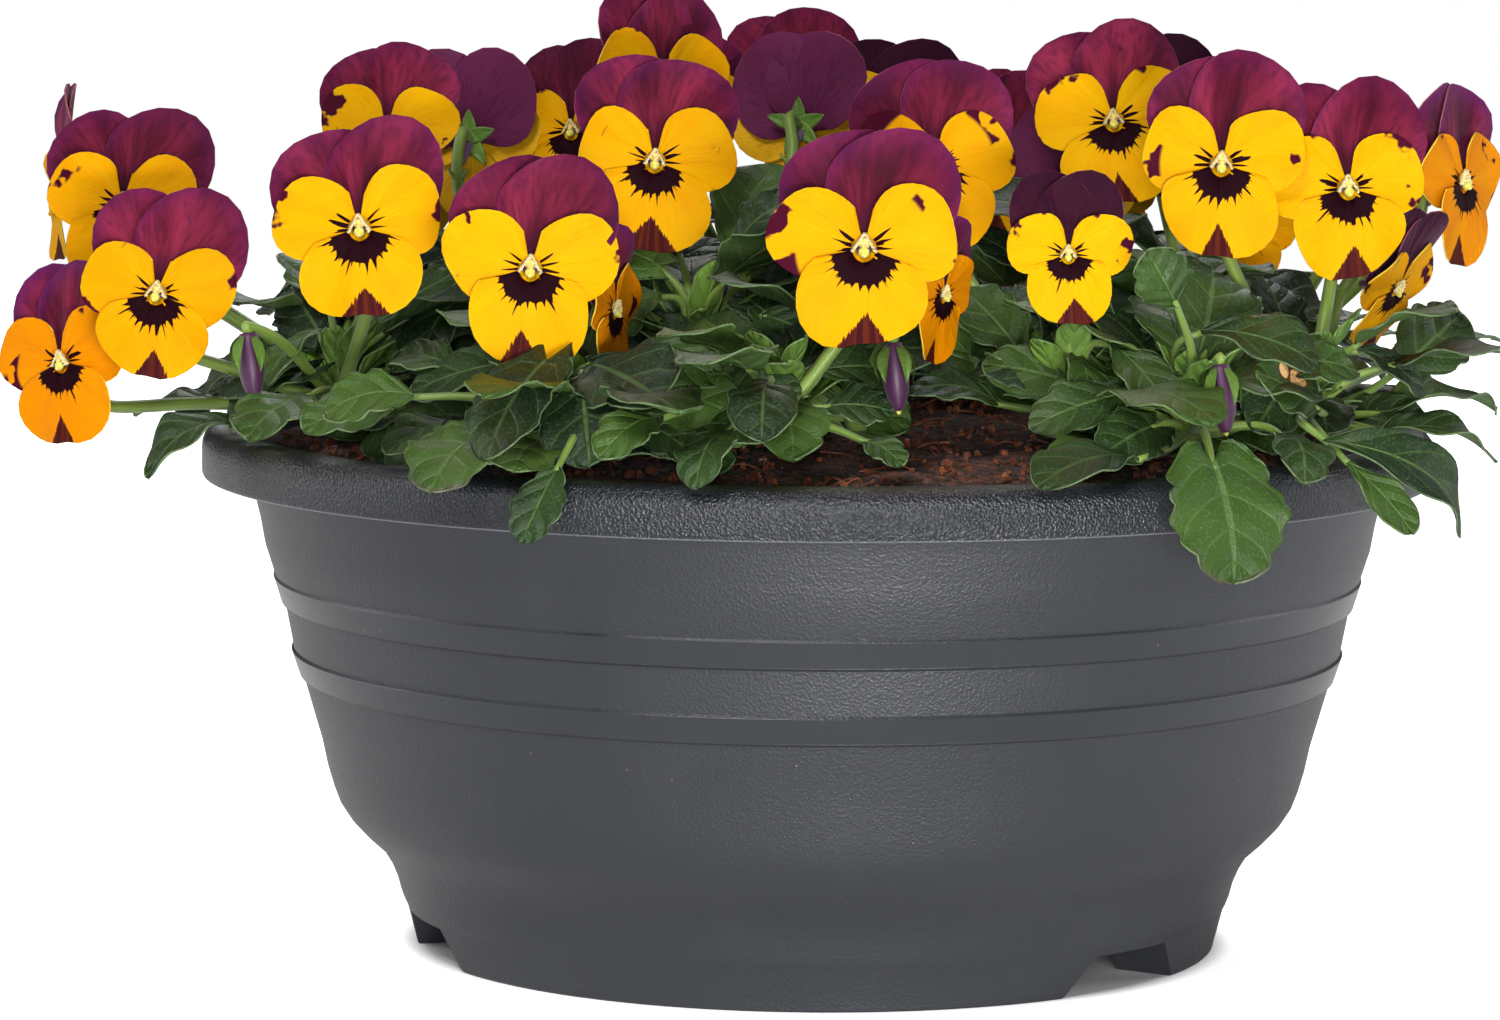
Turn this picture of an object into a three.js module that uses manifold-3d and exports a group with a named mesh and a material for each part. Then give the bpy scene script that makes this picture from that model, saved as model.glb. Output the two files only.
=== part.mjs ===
// A horned violet (Viola cornuta) in its round plastic bowl.
//
// Millimetres, +Z up. The origin is the middle of the bowl's foot ring, on the ground.
// -Y is the side that the plant shows best. Azimuths are measured from -Y towards +X.

import * as THREE from 'three';
import { mergeVertices } from 'three/addons/utils/BufferGeometryUtils.js';
import Module from 'manifold-3d';

const wasm = await Module();
wasm.setup();

// ---------------------------------------------------------------- driving dimensions

const RIM_RADIUS = 135;
const RIM_TOP = 114.5;
const RIM_LOW = 104;
const FOOT_RADIUS = 88;
const FOOT_WIDTH = 14;
const PAD_RADIUS = 30;
const FLOOR_LOW = 9.2;
const FLOOR_TOP = 12.5;
const NOTCH_HEIGHT = 8.6;
const NOTCH_WIDTH = 15;
const NOTCH_SPREAD = 7.1;
const NOTCH_AZIMUTHS = [48.7, -71.3, 168.7];
const POT_SIDES = 32;
const SOIL_SIDES = 20;

const GAP = 0.3;
const SOIL_EDGE = 110;
const SOIL_MOUND = 9;
const CROWN_RADIUS = 8;
const CROWN_DEPTH = 16;
const BLADE = 0.8;
const PETAL = 0.7;
const STALK_RADIUS = 1.25;
const PETIOLE_RADIUS = 1.1;
const SHOOT_RADIUS = 2.4;
const HEAD_RADIUS = 4.2;
const CROWN_SIDES = 6;
const SECTOR_MARGIN = 0.8;
const GOLDEN_ANGLE = 137.508;

const LOOKS = {
  pot: { color: 0x44454a, roughness: 0.55 },
  soil: { color: 0x5a3223, roughness: 0.95 },
  leaf: { color: 0x3f6b2f, roughness: 0.6 },
  yellow: { color: 0xffc800, roughness: 0.55 },
  maroon: { color: 0x6e1e3c, roughness: 0.6 },
};

// Each plant fills the wedge of the bowl between two azimuths. Its shoots creep out from
// the crown, and end in heads [x, y, z] that carry the leaves and the flower stalks.
const PLANTS = [
  {
    name: 'plant_front',
    crown: [-22, -62],
    wedge: [-50, 17],
    heads: [[-49, -94, 121], [-9, -93, 124], [-26, -50, 130], [8, -72, 124]],
  },
  {
    name: 'plant_right',
    crown: [60, -46],
    wedge: [17, 88],
    heads: [[77, -84, 122], [103, -58, 123], [52, -74, 124], [62, -28, 131]],
  },
  {
    name: 'plant_left',
    crown: [-72, -8],
    wedge: [-125, -50],
    heads: [[-103, -38, 122], [-104, 4, 122], [-68, -28, 130], [-72, 20, 126]],
  },
  {
    name: 'plant_back_right',
    crown: [57, 40],
    wedge: [88, 160],
    heads: [[96, 30, 122], [66, 78, 122], [36, 44, 130], [88, 58, 124]],
  },
  {
    name: 'plant_back_left',
    crown: [-18, 68],
    wedge: [160, 235],
    heads: [[-26, 103, 121], [-60, 70, 122], [-14, 46, 131], [10, 96, 122]],
  },
];
const LEAVES_PER_HEAD = 4;
const LEAF_ATTEMPTS = 60;
const LEAF_CLEARANCE = 4;
const LARGE_LEAF_CLEARANCE = 9;
/** Clearances of the leaves from the bowl and soil, the stalks and the blooms. */
const POT_CLEARANCE = 1.5;
const STALK_CLEARANCE = 3;
const BLOOM_DEPTH = 5.5;
const BLOOM_REACH = 25;
/** Radius inside the rim, and the lowest place of a leaf that hangs over it. */
const RIM_INSIDE = 119;
const HANG_LIMIT = 96;
/** A small leaf: least petiole, width as a part of its length, and arch. */
const PETIOLE_LENGTH = 10;
const LEAF_WIDTH = 0.66;
const LEAF_ARCH = 2;
/** Half size of a bud along x, y and z, and the radius of its stalk. */
const BUD_SIZE = [3.1, 3.1, 8.5];
const BUD_STALK = 1;
const LEAF_LENGTH = 24;
const LEAF_SPREAD = 9;

// The blooms: throat [x, y, z], yaw (0 faces -Y, + turns to +X), pitch (+ looks up),
// roll and size. The near ones have a node for each colour of petal.
const NEAR_BLOOMS = [
  [[-151, -18, 163], -12, 6, 4, 0.95],
  [[-141, -45, 146], -8, 8, 6, 0.95],
  [[-163, -32, 130], -30, 4, -10, 0.9],
  [[-93, -30, 180], -8, 10, 0, 0.82],
  [[-95, -85, 163], -6, 8, -6, 1],
  [[-59, -100, 156], 2, 6, 3, 1],
  [[-42, -80, 146], 72, -4, 8, 0.78],
  [[-35, -48, 175], 6, 8, 4, 0.95],
  [[-34, -8, 190], 28, 10, 8, 0.9],
  [[9, -105, 161], 0, 8, 2, 1.06],
  [[24, -58, 175], 4, 8, -4, 0.98],
  [[26, -84, 150], 60, -6, 6, 0.72],
  [[51, -92, 159], -4, 4, 0, 0.72],
  [[63, -24, 183], -6, 14, -6, 0.92],
  [[84, -62, 176], 3, 6, 3, 0.98],
  [[111, -58, 171], 8, 6, -2, 0.96],
  [[141, -2, 169], 56, 4, 6, 0.92],
  [[124, -34, 148], 62, -30, 0, 0.8],
];

// The blooms behind them and round the back, each with its petals in one node.
const FAR_BLOOMS = [
  [[-168, 4, 166], -75, 0, -8, 0.88],
  [[-76, 6, 176], 165, 0, 0, 0.86],
  [[-56, 34, 177], -20, 8, -6, 0.85],
  [[-30, 46, 180], 8, 10, 6, 0.82],
  [[-3, -4, 179], 158, -8, 10, 0.9],
  [[-4, 58, 184], 12, 12, -4, 0.86],
  [[17, 34, 179], 8, 6, 8, 0.85],
  [[41, 16, 172], 6, 6, 4, 0.84],
  [[56, 2, 166], 170, 0, -4, 0.82],
  [[92, 8, 158], 10, 0, 0, 0.8],
  [[126, 24, 168], 130, 0, 0, 0.88],
  [[77, 58, 179], 6, 14, -6, 0.84],
  [[96, 44, 174], 48, 10, 6, 0.84],
  [[-92, 74, 166], -132, 8, 4, 0.95],
  [[-64, 94, 162], -150, 6, -4, 0.9],
  [[64, 96, 162], 155, 8, 0, 0.95],
  [[18, 114, 160], 178, 4, 6, 0.9],
];
const BLOOMS = [...NEAR_BLOOMS, ...FAR_BLOOMS];

// The large leaves: plant, shoot head, base and tip of the blade, the side that its
// upper face looks to, width, and how far it arches above its chord.
const LARGE_LEAVES = [
  ['plant_right', 0, [80, -113, 118.5], [84, -121.5, 95], [0.42, -0.87, 0.3], 28, 2.5],
  ['plant_right', 1, [104, -90, 121], [135, -72, 99], [0.5, -0.75, 0.6], 15, 9],
  ['plant_right', 1, [108, -92, 117.5], [122, -100, 103], [0.6, -0.8, 0.3], 10, 1],
  ['plant_right', 0, [96, -90, 122], [99, -107, 114], [0.5, -0.6, 0.8], 14, 3],
  ['plant_right', 1, [104, -78, 126], [90, -92, 135], [-0.3, -0.8, 0.6], 14, 1],
  ['plant_right', 1, [118, -55, 123], [146, -30, 122], [0, -0.2, 1], 13, 4],
  ['plant_right', 1, [118, -62, 120], [144, -50, 113], [0, -0.4, 1], 12, 4],
  ['plant_right', 1, [122, -44, 130], [138, -28, 142], [0.3, -0.9, 0.4], 17, 2],
  ['plant_right', 1, [120, -32, 130], [147, -8, 136], [0, -0.4, 1], 17, 3],
  ['plant_right', 0, [73.3, -97, 149.0], [66.7, -101, 160.3], [-0.1, -1, 0.35], 13, 1],
  ['plant_right', 0, [66, -106, 118.5], [44, -132, 116], [0, -0.5, 1], 15, 3],
  ['plant_front', 1, [-6, -100, 130], [-5, -117, 119], [0, -0.6, 0.8], 16, 2],
  ['plant_front', 0, [-52, -127, 118.5], [-59, -137, 104], [-0.2, -1, 0.3], 11, 1],
  ['plant_front', 0, [-38, -102, 124], [-22, -107, 124], [0.1, -0.9, 0.6], 18, 1],
  ['plant_front', 1, [9, -106, 122], [17, -112, 117.5], [0.3, -0.6, 0.8], 9, 1],
  ['plant_front', 1, [1, -98, 128], [15, -97, 127], [0, -0.6, 0.8], 12, 1],
  ['plant_front', 2, [-18, -90, 136], [-38, -92, 136], [0, -0.8, 0.6], 14, 2],
  ['plant_front', 0, [-68, -104, 122], [-78, -124, 113], [-0.3, -0.8, 0.7], 22, 3],
  ['plant_front', 0, [-57, -106, 121], [-61, -126, 117.5], [0, -0.6, 0.8], 19, 2],
  ['plant_left', 0, [-124, -45, 119], [-142, -56, 108], [-0.3, -0.4, 0.9], 12, 4],
  ['plant_left', 1, [-128, -20, 121], [-149, -12, 117], [0, -0.2, 1], 12, 2],
  ['plant_left', 0, [-107, -58, 126], [-119, -76, 118.5], [-0.2, -0.5, 0.9], 18, 2],
  ['plant_left', 0, [-88, -72, 124], [-107, -80, 121], [0, -0.6, 0.9], 15, 2],
];

// The purple buds that hang below the foliage's top: plant, shoot head, middle.
const BUDS = [
  ['plant_front', 3, [15, -98, 133]],
  ['plant_right', 0, [82, -98, 129]],
  ['plant_left', 0, [-120, -62, 131]],
];

// Outline of the leaves: where the widest place is (peak), how full the ends are (small
// is full), and how deep every second tooth of the edge is cut back.
const LEAF_SHAPE = { peak: 0.55, fullness: 0.62, teeth: 0.1 };

// Half outlines of the petals in the bloom's frame: [turn from up, distance from the
// throat, depth behind it], clockwise from the top. The other halves mirror them.
const YELLOW_OUTLINE = [
  [60, 9, -0.6], [66, 15.6, -0.4], [82, 18.2, 0], [103, 16.6, -0.4], [119, 8.8, -0.2],
  [131, 14, 0], [144, 18.6, -0.2], [163, 19.8, -0.8],
];
const YELLOW_TOP = [0, 2.4, -0.4];
const YELLOW_BOTTOM = [180, 19.4, -1.2];
const MAROON_OUTLINE = [[9, 22.6, 3.4], [27, 23.8, 3.8], [45, 21.6, 3.4], [59, 16, 2.8], [62, 8.5, 2.4]];
const MAROON_TOP = [0, 18.4, 2.6];
const MAROON_STEP = 0.5;
const CLAW_REACH = 1.4;
const THROAT_RADIUS = 2.2;
const SPUR_RADIUS = 0.9;
const SPUR_END = [0, 9.3, -4.4];
const SEPAL_VALLEY = 1.6;
const SEPALS = [[0, 8.5], [85, 8.5], [275, 8.5]];
const MAROON_HUB = [0, 12, 3];

// ---------------------------------------------------------------------------- helpers

const vec = (point) => new THREE.Vector3(...point);
const radians = THREE.MathUtils.degToRad;

/** Azimuth of (x, y) in degrees, from -Y towards +X. */
const azimuthOf = (x, y) => THREE.MathUtils.radToDeg(Math.atan2(x, -y));

/** A closed geometry as a manifold solid. */
function solidOf(geometry) {
  const bare = geometry.clone();
  bare.deleteAttribute('normal');
  bare.deleteAttribute('uv');
  const merged = mergeVertices(bare, 1e-3);
  const corners = merged.index.array;
  const faces = [];
  for (let i = 0; i < corners.length; i += 3) {
    const [a, b, c] = [corners[i], corners[i + 1], corners[i + 2]];
    if (a !== b && b !== c && c !== a) faces.push(a, b, c);
  }
  const mesh = new wasm.Mesh({
    numProp: 3,
    vertProperties: new Float32Array(merged.attributes.position.array),
    triVerts: new Uint32Array(faces),
  });
  return new wasm.Manifold(mesh);
}

/** Points and faces as a geometry. */
function geometryOf(points, faces) {
  const geometry = new THREE.BufferGeometry();
  const places = points.flatMap((p) => [p.x, p.y, p.z]);
  geometry.setAttribute('position', new THREE.Float32BufferAttribute(places, 3));
  geometry.setIndex(faces.flat());
  return geometry;
}

/** All the solids joined in one. */
const joined = (solids) => solids.reduce((whole, solid) => whole.add(solid));

/** A named mesh of a solid, with the look of that name. */
function meshOf(name, solid, look) {
  const raw = solid.getMesh();
  const geometry = new THREE.BufferGeometry();
  geometry.setAttribute('position', new THREE.BufferAttribute(new Float32Array(raw.vertProperties), 3));
  geometry.setIndex(new THREE.BufferAttribute(new Uint32Array(raw.triVerts), 1));
  const mesh = new THREE.Mesh(geometry, new THREE.MeshStandardMaterial({ ...LOOKS[look], metalness: 0 }));
  mesh.name = name;
  return mesh;
}

/** A smooth route that reaches each of its points after an equal number of steps. */
class Route extends THREE.CatmullRomCurve3 {
  getPointAt(part, target) {
    return this.getPoint(part, target);
  }

  getTangentAt(part, target) {
    return this.getTangent(part, target);
  }
}

/** A tube along a smooth route through the points. */
function tube(points, radius, sides) {
  const section = new THREE.Shape();
  for (let i = 0; i < sides; i += 1) {
    const turn = (2 * Math.PI * i) / sides;
    const [x, y] = [radius * Math.cos(turn), radius * Math.sin(turn)];
    if (i === 0) section.moveTo(x, y);
    else section.lineTo(x, y);
  }
  section.closePath();
  const extrudePath = new Route(points);
  const settings = { steps: points.length - 1, extrudePath, bevelEnabled: false };
  return solidOf(new THREE.ExtrudeGeometry(section, settings));
}

/** A ball with few faces. */
function knob(centre, radius) {
  return solidOf(new THREE.OctahedronGeometry(radius).translate(...centre));
}

/** A sheet of triangles [a, b, c] over the points, thickened along each point's normal. */
function thickened(points, normals, sheet, border, thickness) {
  const count = points.length;
  const faces = [];
  for (const [a, b, c] of sheet) faces.push([a, b, c], [a + count, c + count, b + count]);
  border.forEach((a, i) => {
    const b = border[(i + 1) % border.length];
    faces.push([b, a, a + count], [b, a + count, b + count]);
  });
  const shifted = (sign) => points
    .map((point, i) => point.clone().addScaledVector(normals[i], (sign * thickness[i]) / 2));
  return solidOf(geometryOf([...shifted(1), ...shifted(-1)], faces));
}

/** Half the width of a leaf of width 1 at the fraction t of its length. */
function halfWidth(t, step) {
  const bend = Math.log(0.5) / Math.log(LEAF_SHAPE.peak);
  const full = 0.5 * Math.sin(Math.PI * t ** bend) ** LEAF_SHAPE.fullness;
  return full * (step % 2 ? 1 : 1 - LEAF_SHAPE.teeth);
}

/** The rows across a leaf: centre, half width, side and normal, from head to tip. */
function leafRows({ head, base, tip, face, width, arch, segments, stemRows }) {
  const along = tip.clone().sub(base);
  const length = along.length();
  along.normalize();
  const up = face.clone().addScaledVector(along, -face.dot(along)).normalize();
  const side = along.clone().cross(up);
  const stem = base.clone().sub(head);
  const climb = stem.clone().normalize();
  const stemSide = side.clone().addScaledVector(climb, -side.dot(climb)).normalize();
  const stemUp = stemSide.clone().cross(climb);
  const rows = [[0, 0], ...stemRows].map(([part, wide]) => ({
    centre: head.clone().addScaledVector(stem, part),
    half: wide * PETIOLE_RADIUS,
    side: stemSide,
    up: stemUp,
    thick: 1.6 * PETIOLE_RADIUS,
  }));
  for (let i = 1; i <= segments; i += 1) {
    const t = (1 - Math.cos((Math.PI * i) / segments)) / 2;
    const centre = base.clone().addScaledVector(along, t * length);
    centre.addScaledVector(up, arch * 4 * t * (1 - t));
    rows.push({ centre, half: i < segments ? width * halfWidth(t, i) : 0, side, up, thick: BLADE });
  }
  return rows;
}

/** A leaf on its petiole, one sheet from the shoot head to its tip. */
function leafSolid(leaf) {
  const points = [];
  const normals = [];
  const thickness = [];
  const rows = leafRows(leaf).map(({ centre, half, side, up, thick }) => {
    const offsets = half === 0 ? [0] : [-1, 1];
    return offsets.map((k) => {
      points.push(centre.clone().addScaledVector(side, k * half));
      normals.push(up);
      thickness.push(thick);
      return points.length - 1;
    });
  });
  const sheet = [];
  for (let i = 0; i + 1 < rows.length; i += 1) sheet.push(...strip(rows[i], rows[i + 1]));
  const border = [...rows.map((row) => row.at(-1)), ...rows.slice(1, -1).reverse().map((row) => row[0])];
  return thickened(points, normals, sheet, border, thickness);
}

/** The triangles between two rows of one, two or three points. */
function strip(low, high) {
  const [first, last] = [low, high].map((row) => (k) => row[Math.round((k * (row.length - 1)) / 2)]);
  const faces = [];
  for (const k of [0, 1]) faces.push([first(k), first(k + 1), last(k + 1)], [first(k), last(k + 1), last(k)]);
  return faces.filter(([a, b, c]) => a !== b && b !== c && c !== a);
}

// -------------------------------------------------------------------------------- pot

/** The outer wall of the bowl from the foot up to the rim: [radius, height]. */
const OUTER_WALL = [
  [FOOT_RADIUS, 0], [90.5, 9.6], [93.8, 18.6], [99.7, 25.4], [105.1, 32.2], [108.9, 45.7],
  [114.7, 65.6], [116.8, 76.3], [118.9, 81.8], [124, RIM_LOW], [RIM_RADIUS - 0.8, RIM_LOW],
  [RIM_RADIUS, RIM_LOW + 0.8], [RIM_RADIUS, RIM_TOP - 3], [RIM_RADIUS - 3.2, RIM_TOP],
];

/** The inner wall from the rim down to the floor. */
const INNER_WALL = [
  [125.5, RIM_TOP], [121, 100], [114.7, 81.8], [105.5, 45.7], [90.5, 20], [84, FLOOR_TOP],
];

/** The solid that cuts one notch through the foot ring; its sides spread to the ground. */
function notch(azimuth) {
  const inner = FOOT_RADIUS - FOOT_WIDTH - 2;
  const outer = FOOT_RADIUS + 14;
  const half = NOTCH_WIDTH / 2;
  const corner = (radius, degrees) => {
    const turn = radians(azimuth + degrees);
    return [radius * Math.sin(turn), -radius * Math.cos(turn)];
  };
  const section = new THREE.Shape();
  section.moveTo(...corner(inner, -half));
  for (const degrees of [-half, 0, half]) section.lineTo(...corner(outer, degrees));
  for (const degrees of [half, 0]) section.lineTo(...corner(inner, degrees));
  section.closePath();
  const below = 1;
  const sector = new THREE.ExtrudeGeometry(section, { depth: NOTCH_HEIGHT + below, bevelEnabled: false });
  sector.translate(0, 0, -below);
  spreadFoot(sector, azimuth, NOTCH_SPREAD * (1 + below / NOTCH_HEIGHT));
  return solidOf(sector);
}

/** Moves the lower corners of a notch's cutter apart. */
function spreadFoot(sector, azimuth, spread) {
  const places = sector.attributes.position;
  const [east, north] = [Math.cos(radians(azimuth)), Math.sin(radians(azimuth))];
  for (let i = 0; i < places.count; i++) {
    const [x, y] = [places.getX(i), places.getY(i)];
    const aside = x * east + y * north;
    if (places.getZ(i) > 0 || Math.abs(aside) < 1) continue;
    const turn = radians(azimuth + (Math.sign(aside) * NOTCH_WIDTH) / 2);
    const step = Math.sign(aside) * spread;
    places.setXY(i, x + step * Math.cos(turn), y + step * Math.sin(turn));
  }
}

function makePot() {
  const inside = FOOT_RADIUS - FOOT_WIDTH;
  const underside = [[0, 0], [PAD_RADIUS, 0], [PAD_RADIUS + 1, FLOOR_LOW], [inside, FLOOR_LOW], [inside, 0]];
  const profile = [...underside, ...OUTER_WALL, ...INNER_WALL, [0, FLOOR_TOP]];
  const lathe = new THREE.LatheGeometry(profile.map(([r, z]) => new THREE.Vector2(r, z)), POT_SIDES);
  let pot = solidOf(lathe.rotateX(Math.PI / 2));
  for (const azimuth of NOTCH_AZIMUTHS) pot = pot.subtract(notch(azimuth));
  return meshOf('pot', pot, 'pot');
}

// ------------------------------------------------------------------------------- soil

/** Height of the soil at (x, y): a low mound with lumps. */
function soilHeight(x, y) {
  const reach = Math.hypot(x, y) / 122;
  const lumps = 0.9 * Math.sin(0.13 * x + 0.9) * Math.cos(0.11 * y) + 0.6 * Math.sin(0.21 * (x + y));
  return SOIL_EDGE + SOIL_MOUND * (1 - reach ** 2) + lumps * (1 - reach ** 4);
}

/** Radius of the inner wall at a height. */
function innerRadius(height) {
  const walls = [...INNER_WALL].reverse();
  const upper = walls.findIndex(([, z]) => z >= height);
  const [[r0, z0], [r1, z1]] = [walls[upper - 1], walls[upper]];
  return r0 + ((r1 - r0) * (height - z0)) / (z1 - z0);
}

function makeSoil() {
  const clear = GAP + innerRadius(SOIL_EDGE) * (1 - Math.cos(Math.PI / POT_SIDES));
  const bottom = FLOOR_TOP + GAP;
  const side = [bottom, 18.3, 45.9, 82, 100.2, SOIL_EDGE].map((z) => [innerRadius(z) - clear, z]);
  const top = [0.8, 0.5, 0.2].map((part) => [side.at(-1)[0] * part, SOIL_EDGE + SOIL_MOUND]);
  const profile = [[0, bottom], ...side, ...top, [0, SOIL_EDGE + SOIL_MOUND]];
  const lathe = new THREE.LatheGeometry(profile.map(([r, z]) => new THREE.Vector2(r, z)), SOIL_SIDES);
  lathe.rotateX(Math.PI / 2);
  const place = lathe.attributes.position;
  for (let i = 0; i < place.count; i += 1) {
    if (place.getZ(i) > SOIL_EDGE + 1) place.setZ(i, soilHeight(place.getX(i), place.getY(i)));
  }
  let soil = solidOf(lathe);
  for (const plant of PLANTS) soil = soil.subtract(crownPlug(plant, GAP));
  return meshOf('soil', soil, 'soil');
}

/** The foot of a plant, which stands in a plain hole of the soil. */
function crownPlug(plant, clear = 0) {
  const [x, y] = plant.crown;
  const top = soilHeight(x, y) + 4;
  const height = CROWN_DEPTH + 4 + clear;
  const radius = CROWN_RADIUS + clear;
  const plug = new THREE.CylinderGeometry(radius, radius, height, CROWN_SIDES).rotateX(Math.PI / 2);
  return solidOf(plug.translate(x, y, top - height / 2));
}

// ----------------------------------------------------------------------------- blooms

/** The turn and place of a bloom as a matrix. Its front looks along local -Y. */
function bloomMatrix([throat, yaw, pitch, roll, size]) {
  const turn = new THREE.Euler(radians(-pitch), radians(roll), radians(yaw), 'ZXY');
  const matrix = new THREE.Matrix4().makeRotationFromEuler(turn);
  matrix.scale(new THREE.Vector3(size, size, size));
  return matrix.setPosition(...throat);
}

/** A point of a bloom from its turn, reach and depth. */
const bloomPoint = ([turn, reach, depth], side = 1) =>
  vec([side * reach * Math.sin(radians(turn)), depth, reach * Math.cos(radians(turn))]);

/** The whole outline, clockwise from the top, of a half outline and its two middle points. */
function wholeOutline(half, top, bottom, step = 0) {
  const right = half.map((point) => bloomPoint(point).add(vec([0, step, 0])));
  const left = half.map((point) => bloomPoint(point, -1).sub(vec([0, step, 0]))).reverse();
  return [bloomPoint(top), ...right, bloomPoint(bottom), ...left];
}

/** The two laterals and the lower petal round the throat, which runs back into the spur. */
function yellowPetals() {
  const outline = wholeOutline(YELLOW_OUTLINE, YELLOW_TOP, YELLOW_BOTTOM);
  const sides = 5;
  const ring = (radius, [, depth, height]) => Array.from({ length: sides }, (_, i) => {
    const turn = (2 * Math.PI * (i + 0.5)) / sides;
    return vec([radius * Math.sin(turn), depth, height + radius * Math.cos(turn)]);
  });
  const half = PETAL / 2;
  const shifted = (points, depth) => points.map((point) => point.clone().add(vec([0, depth, 0])));
  const throat = ring(THROAT_RADIUS, [0, 0, 0]);
  const front = [...shifted(outline, -half), ...shifted(throat, -half)];
  const back = [...shifted(outline, half), ...shifted(throat, half)];
  const points = [...front, ...back, ...ring(SPUR_RADIUS, SPUR_END)];
  const [count, behind] = [outline.length, front.length];
  const faces = [];
  const nearest = (i) => {
    const [x, z] = [outline[i % count].x, outline[i % count].z];
    const turn = (Math.atan2(x, z) / (2 * Math.PI)) * sides;
    return (Math.round(turn - 0.5) + sides) % sides;
  };
  for (let i = 0; i < count; i += 1) {
    const next = (i + 1) % count;
    const [here, there] = [count + nearest(i), count + nearest(next)];
    faces.push([i, next, here], [next + behind, i + behind, here + behind]);
    if (here !== there) faces.push([next, there, here], [next + behind, here + behind, there + behind]);
    faces.push([next, i, i + behind], [next, i + behind, next + behind]);
  }
  const spur = 2 * behind;
  for (let i = 0; i < sides; i += 1) {
    const next = (i + 1) % sides;
    const [low, high] = [behind + count + i, behind + count + next];
    faces.push([high, low, spur + i], [high, spur + i, spur + next]);
    if (i > 0 && i + 1 < sides) faces.push([count, count + i, count + next], [spur, spur + next, spur + i]);
  }
  return solidOf(geometryOf(points, faces.map(([a, b, c]) => [a, c, b])));
}

/** The two upper petals, one before the other, which meet at their claws. */
function maroonPetals(claw) {
  const outline = wholeOutline(MAROON_OUTLINE, MAROON_TOP, [0, claw, 2.4], MAROON_STEP);
  const points = [...outline, bloomPoint(MAROON_HUB)];
  const sheet = outline.map((point, i) => [outline.length, (i + 1) % outline.length, i]);
  const border = outline.map((point, i) => i).reverse();
  return thickened(points, points.map(() => vec([0, -1, 0])), sheet, border, points.map(() => PETAL));
}

function makeBlooms() {
  const [yellow, maroon] = [yellowPetals(), maroonPetals(CLAW_REACH)];
  const whole = yellow.add(maroonPetals(0));
  const copy = (petals, place) => petals.transform(bloomMatrix(place).elements);
  const number = (i) => String(i + 1).padStart(2, '0');
  const near = NEAR_BLOOMS.flatMap((place, i) => [
    meshOf(`bloom_${number(i)}_yellow`, copy(yellow, place), 'yellow'),
    meshOf(`bloom_${number(i)}_maroon`, copy(maroon, place), 'maroon'),
  ]);
  const far = FAR_BLOOMS.map((place, i) => meshOf(`far_bloom_${number(i)}`, copy(whole, place), 'yellow'));
  return [...near, ...far];
}

// ----------------------------------------------------------------------------- plants

const wedgeOf = (plant, azimuth) => {
  const middle = (plant.wedge[0] + plant.wedge[1]) / 2;
  return ((azimuth - middle + 540) % 360) - 180;
};

/** The plant whose wedge holds (x, y). */
function plantAt(x, y) {
  const azimuth = azimuthOf(x, y);
  return PLANTS.find((plant) => Math.abs(wedgeOf(plant, azimuth)) <= (plant.wedge[1] - plant.wedge[0]) / 2);
}

/** How far a point is inside the plant's wedge, in mm. */
function insideWedge(plant, point) {
  const [first, last] = plant.wedge.map(radians);
  const fromFirst = point.x * Math.cos(first) + point.y * Math.sin(first);
  const fromLast = -point.x * Math.cos(last) - point.y * Math.sin(last);
  return Math.min(fromFirst, fromLast);
}

/** Where the stalk meets the sepals, in the bloom's frame. */
const CALYX = [0, 5, 1.3];

/** The points of a flower stalk, from the shoot head up and over to the back of the bloom. */
function stalkPoints(bloom) {
  const place = bloomMatrix(bloom);
  const [end, hook, fall] = [CALYX, [0, 10.5, 2.5], [0, 13.5, -10]].map((p) => vec(p).applyMatrix4(place));
  const plant = plantAt(fall.x, fall.y);
  const heads = plant.heads.map(vec);
  const flat = (head) => Math.hypot(head.x - fall.x, head.y - fall.y);
  const head = heads.reduce((best, other) => (flat(other) < flat(best) ? other : best));
  const rise = head.clone().lerp(fall, 0.55);
  rise.z = head.z + (fall.z - head.z) * 0.5;
  return { plant, points: [head, rise, fall, hook, end] };
}

const STALKS = BLOOMS.map(stalkPoints);

/** The sepals behind the petals of a bloom, as one star. */
function calyx(bloom) {
  const star = new THREE.Shape();
  SEPALS.forEach(([turn, length], i) => {
    const next = SEPALS[(i + 1) % SEPALS.length][0];
    const between = (turn + (next > turn ? next : next + 360)) / 2;
    const [tip, valley] = [[turn, length], [between, SEPAL_VALLEY]]
      .map(([degrees, reach]) => [reach * Math.sin(radians(degrees)), reach * Math.cos(radians(degrees))]);
    if (i === 0) star.moveTo(...tip);
    else star.lineTo(...tip);
    star.lineTo(...valley);
  });
  star.closePath();
  const plate = new THREE.ExtrudeGeometry(star, { depth: BLADE, bevelEnabled: false });
  plate.rotateX(Math.PI / 2).translate(0, CALYX[1] + BLADE / 2, CALYX[2]);
  return solidOf(plate.applyMatrix4(bloomMatrix(bloom)));
}

/** True if the point keeps clear of the bowl and the soil. */
function overPot(point) {
  const reach = Math.hypot(point.x, point.y);
  if (reach > RIM_RADIUS + POT_CLEARANCE) return point.z > HANG_LIMIT;
  if (reach > RIM_INSIDE) return point.z > RIM_TOP + POT_CLEARANCE;
  return point.z > soilHeight(point.x, point.y) + POT_CLEARANCE;
}

const BLOOM_PLACES = BLOOMS.map((bloom) => bloomMatrix(bloom).invert());

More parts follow.
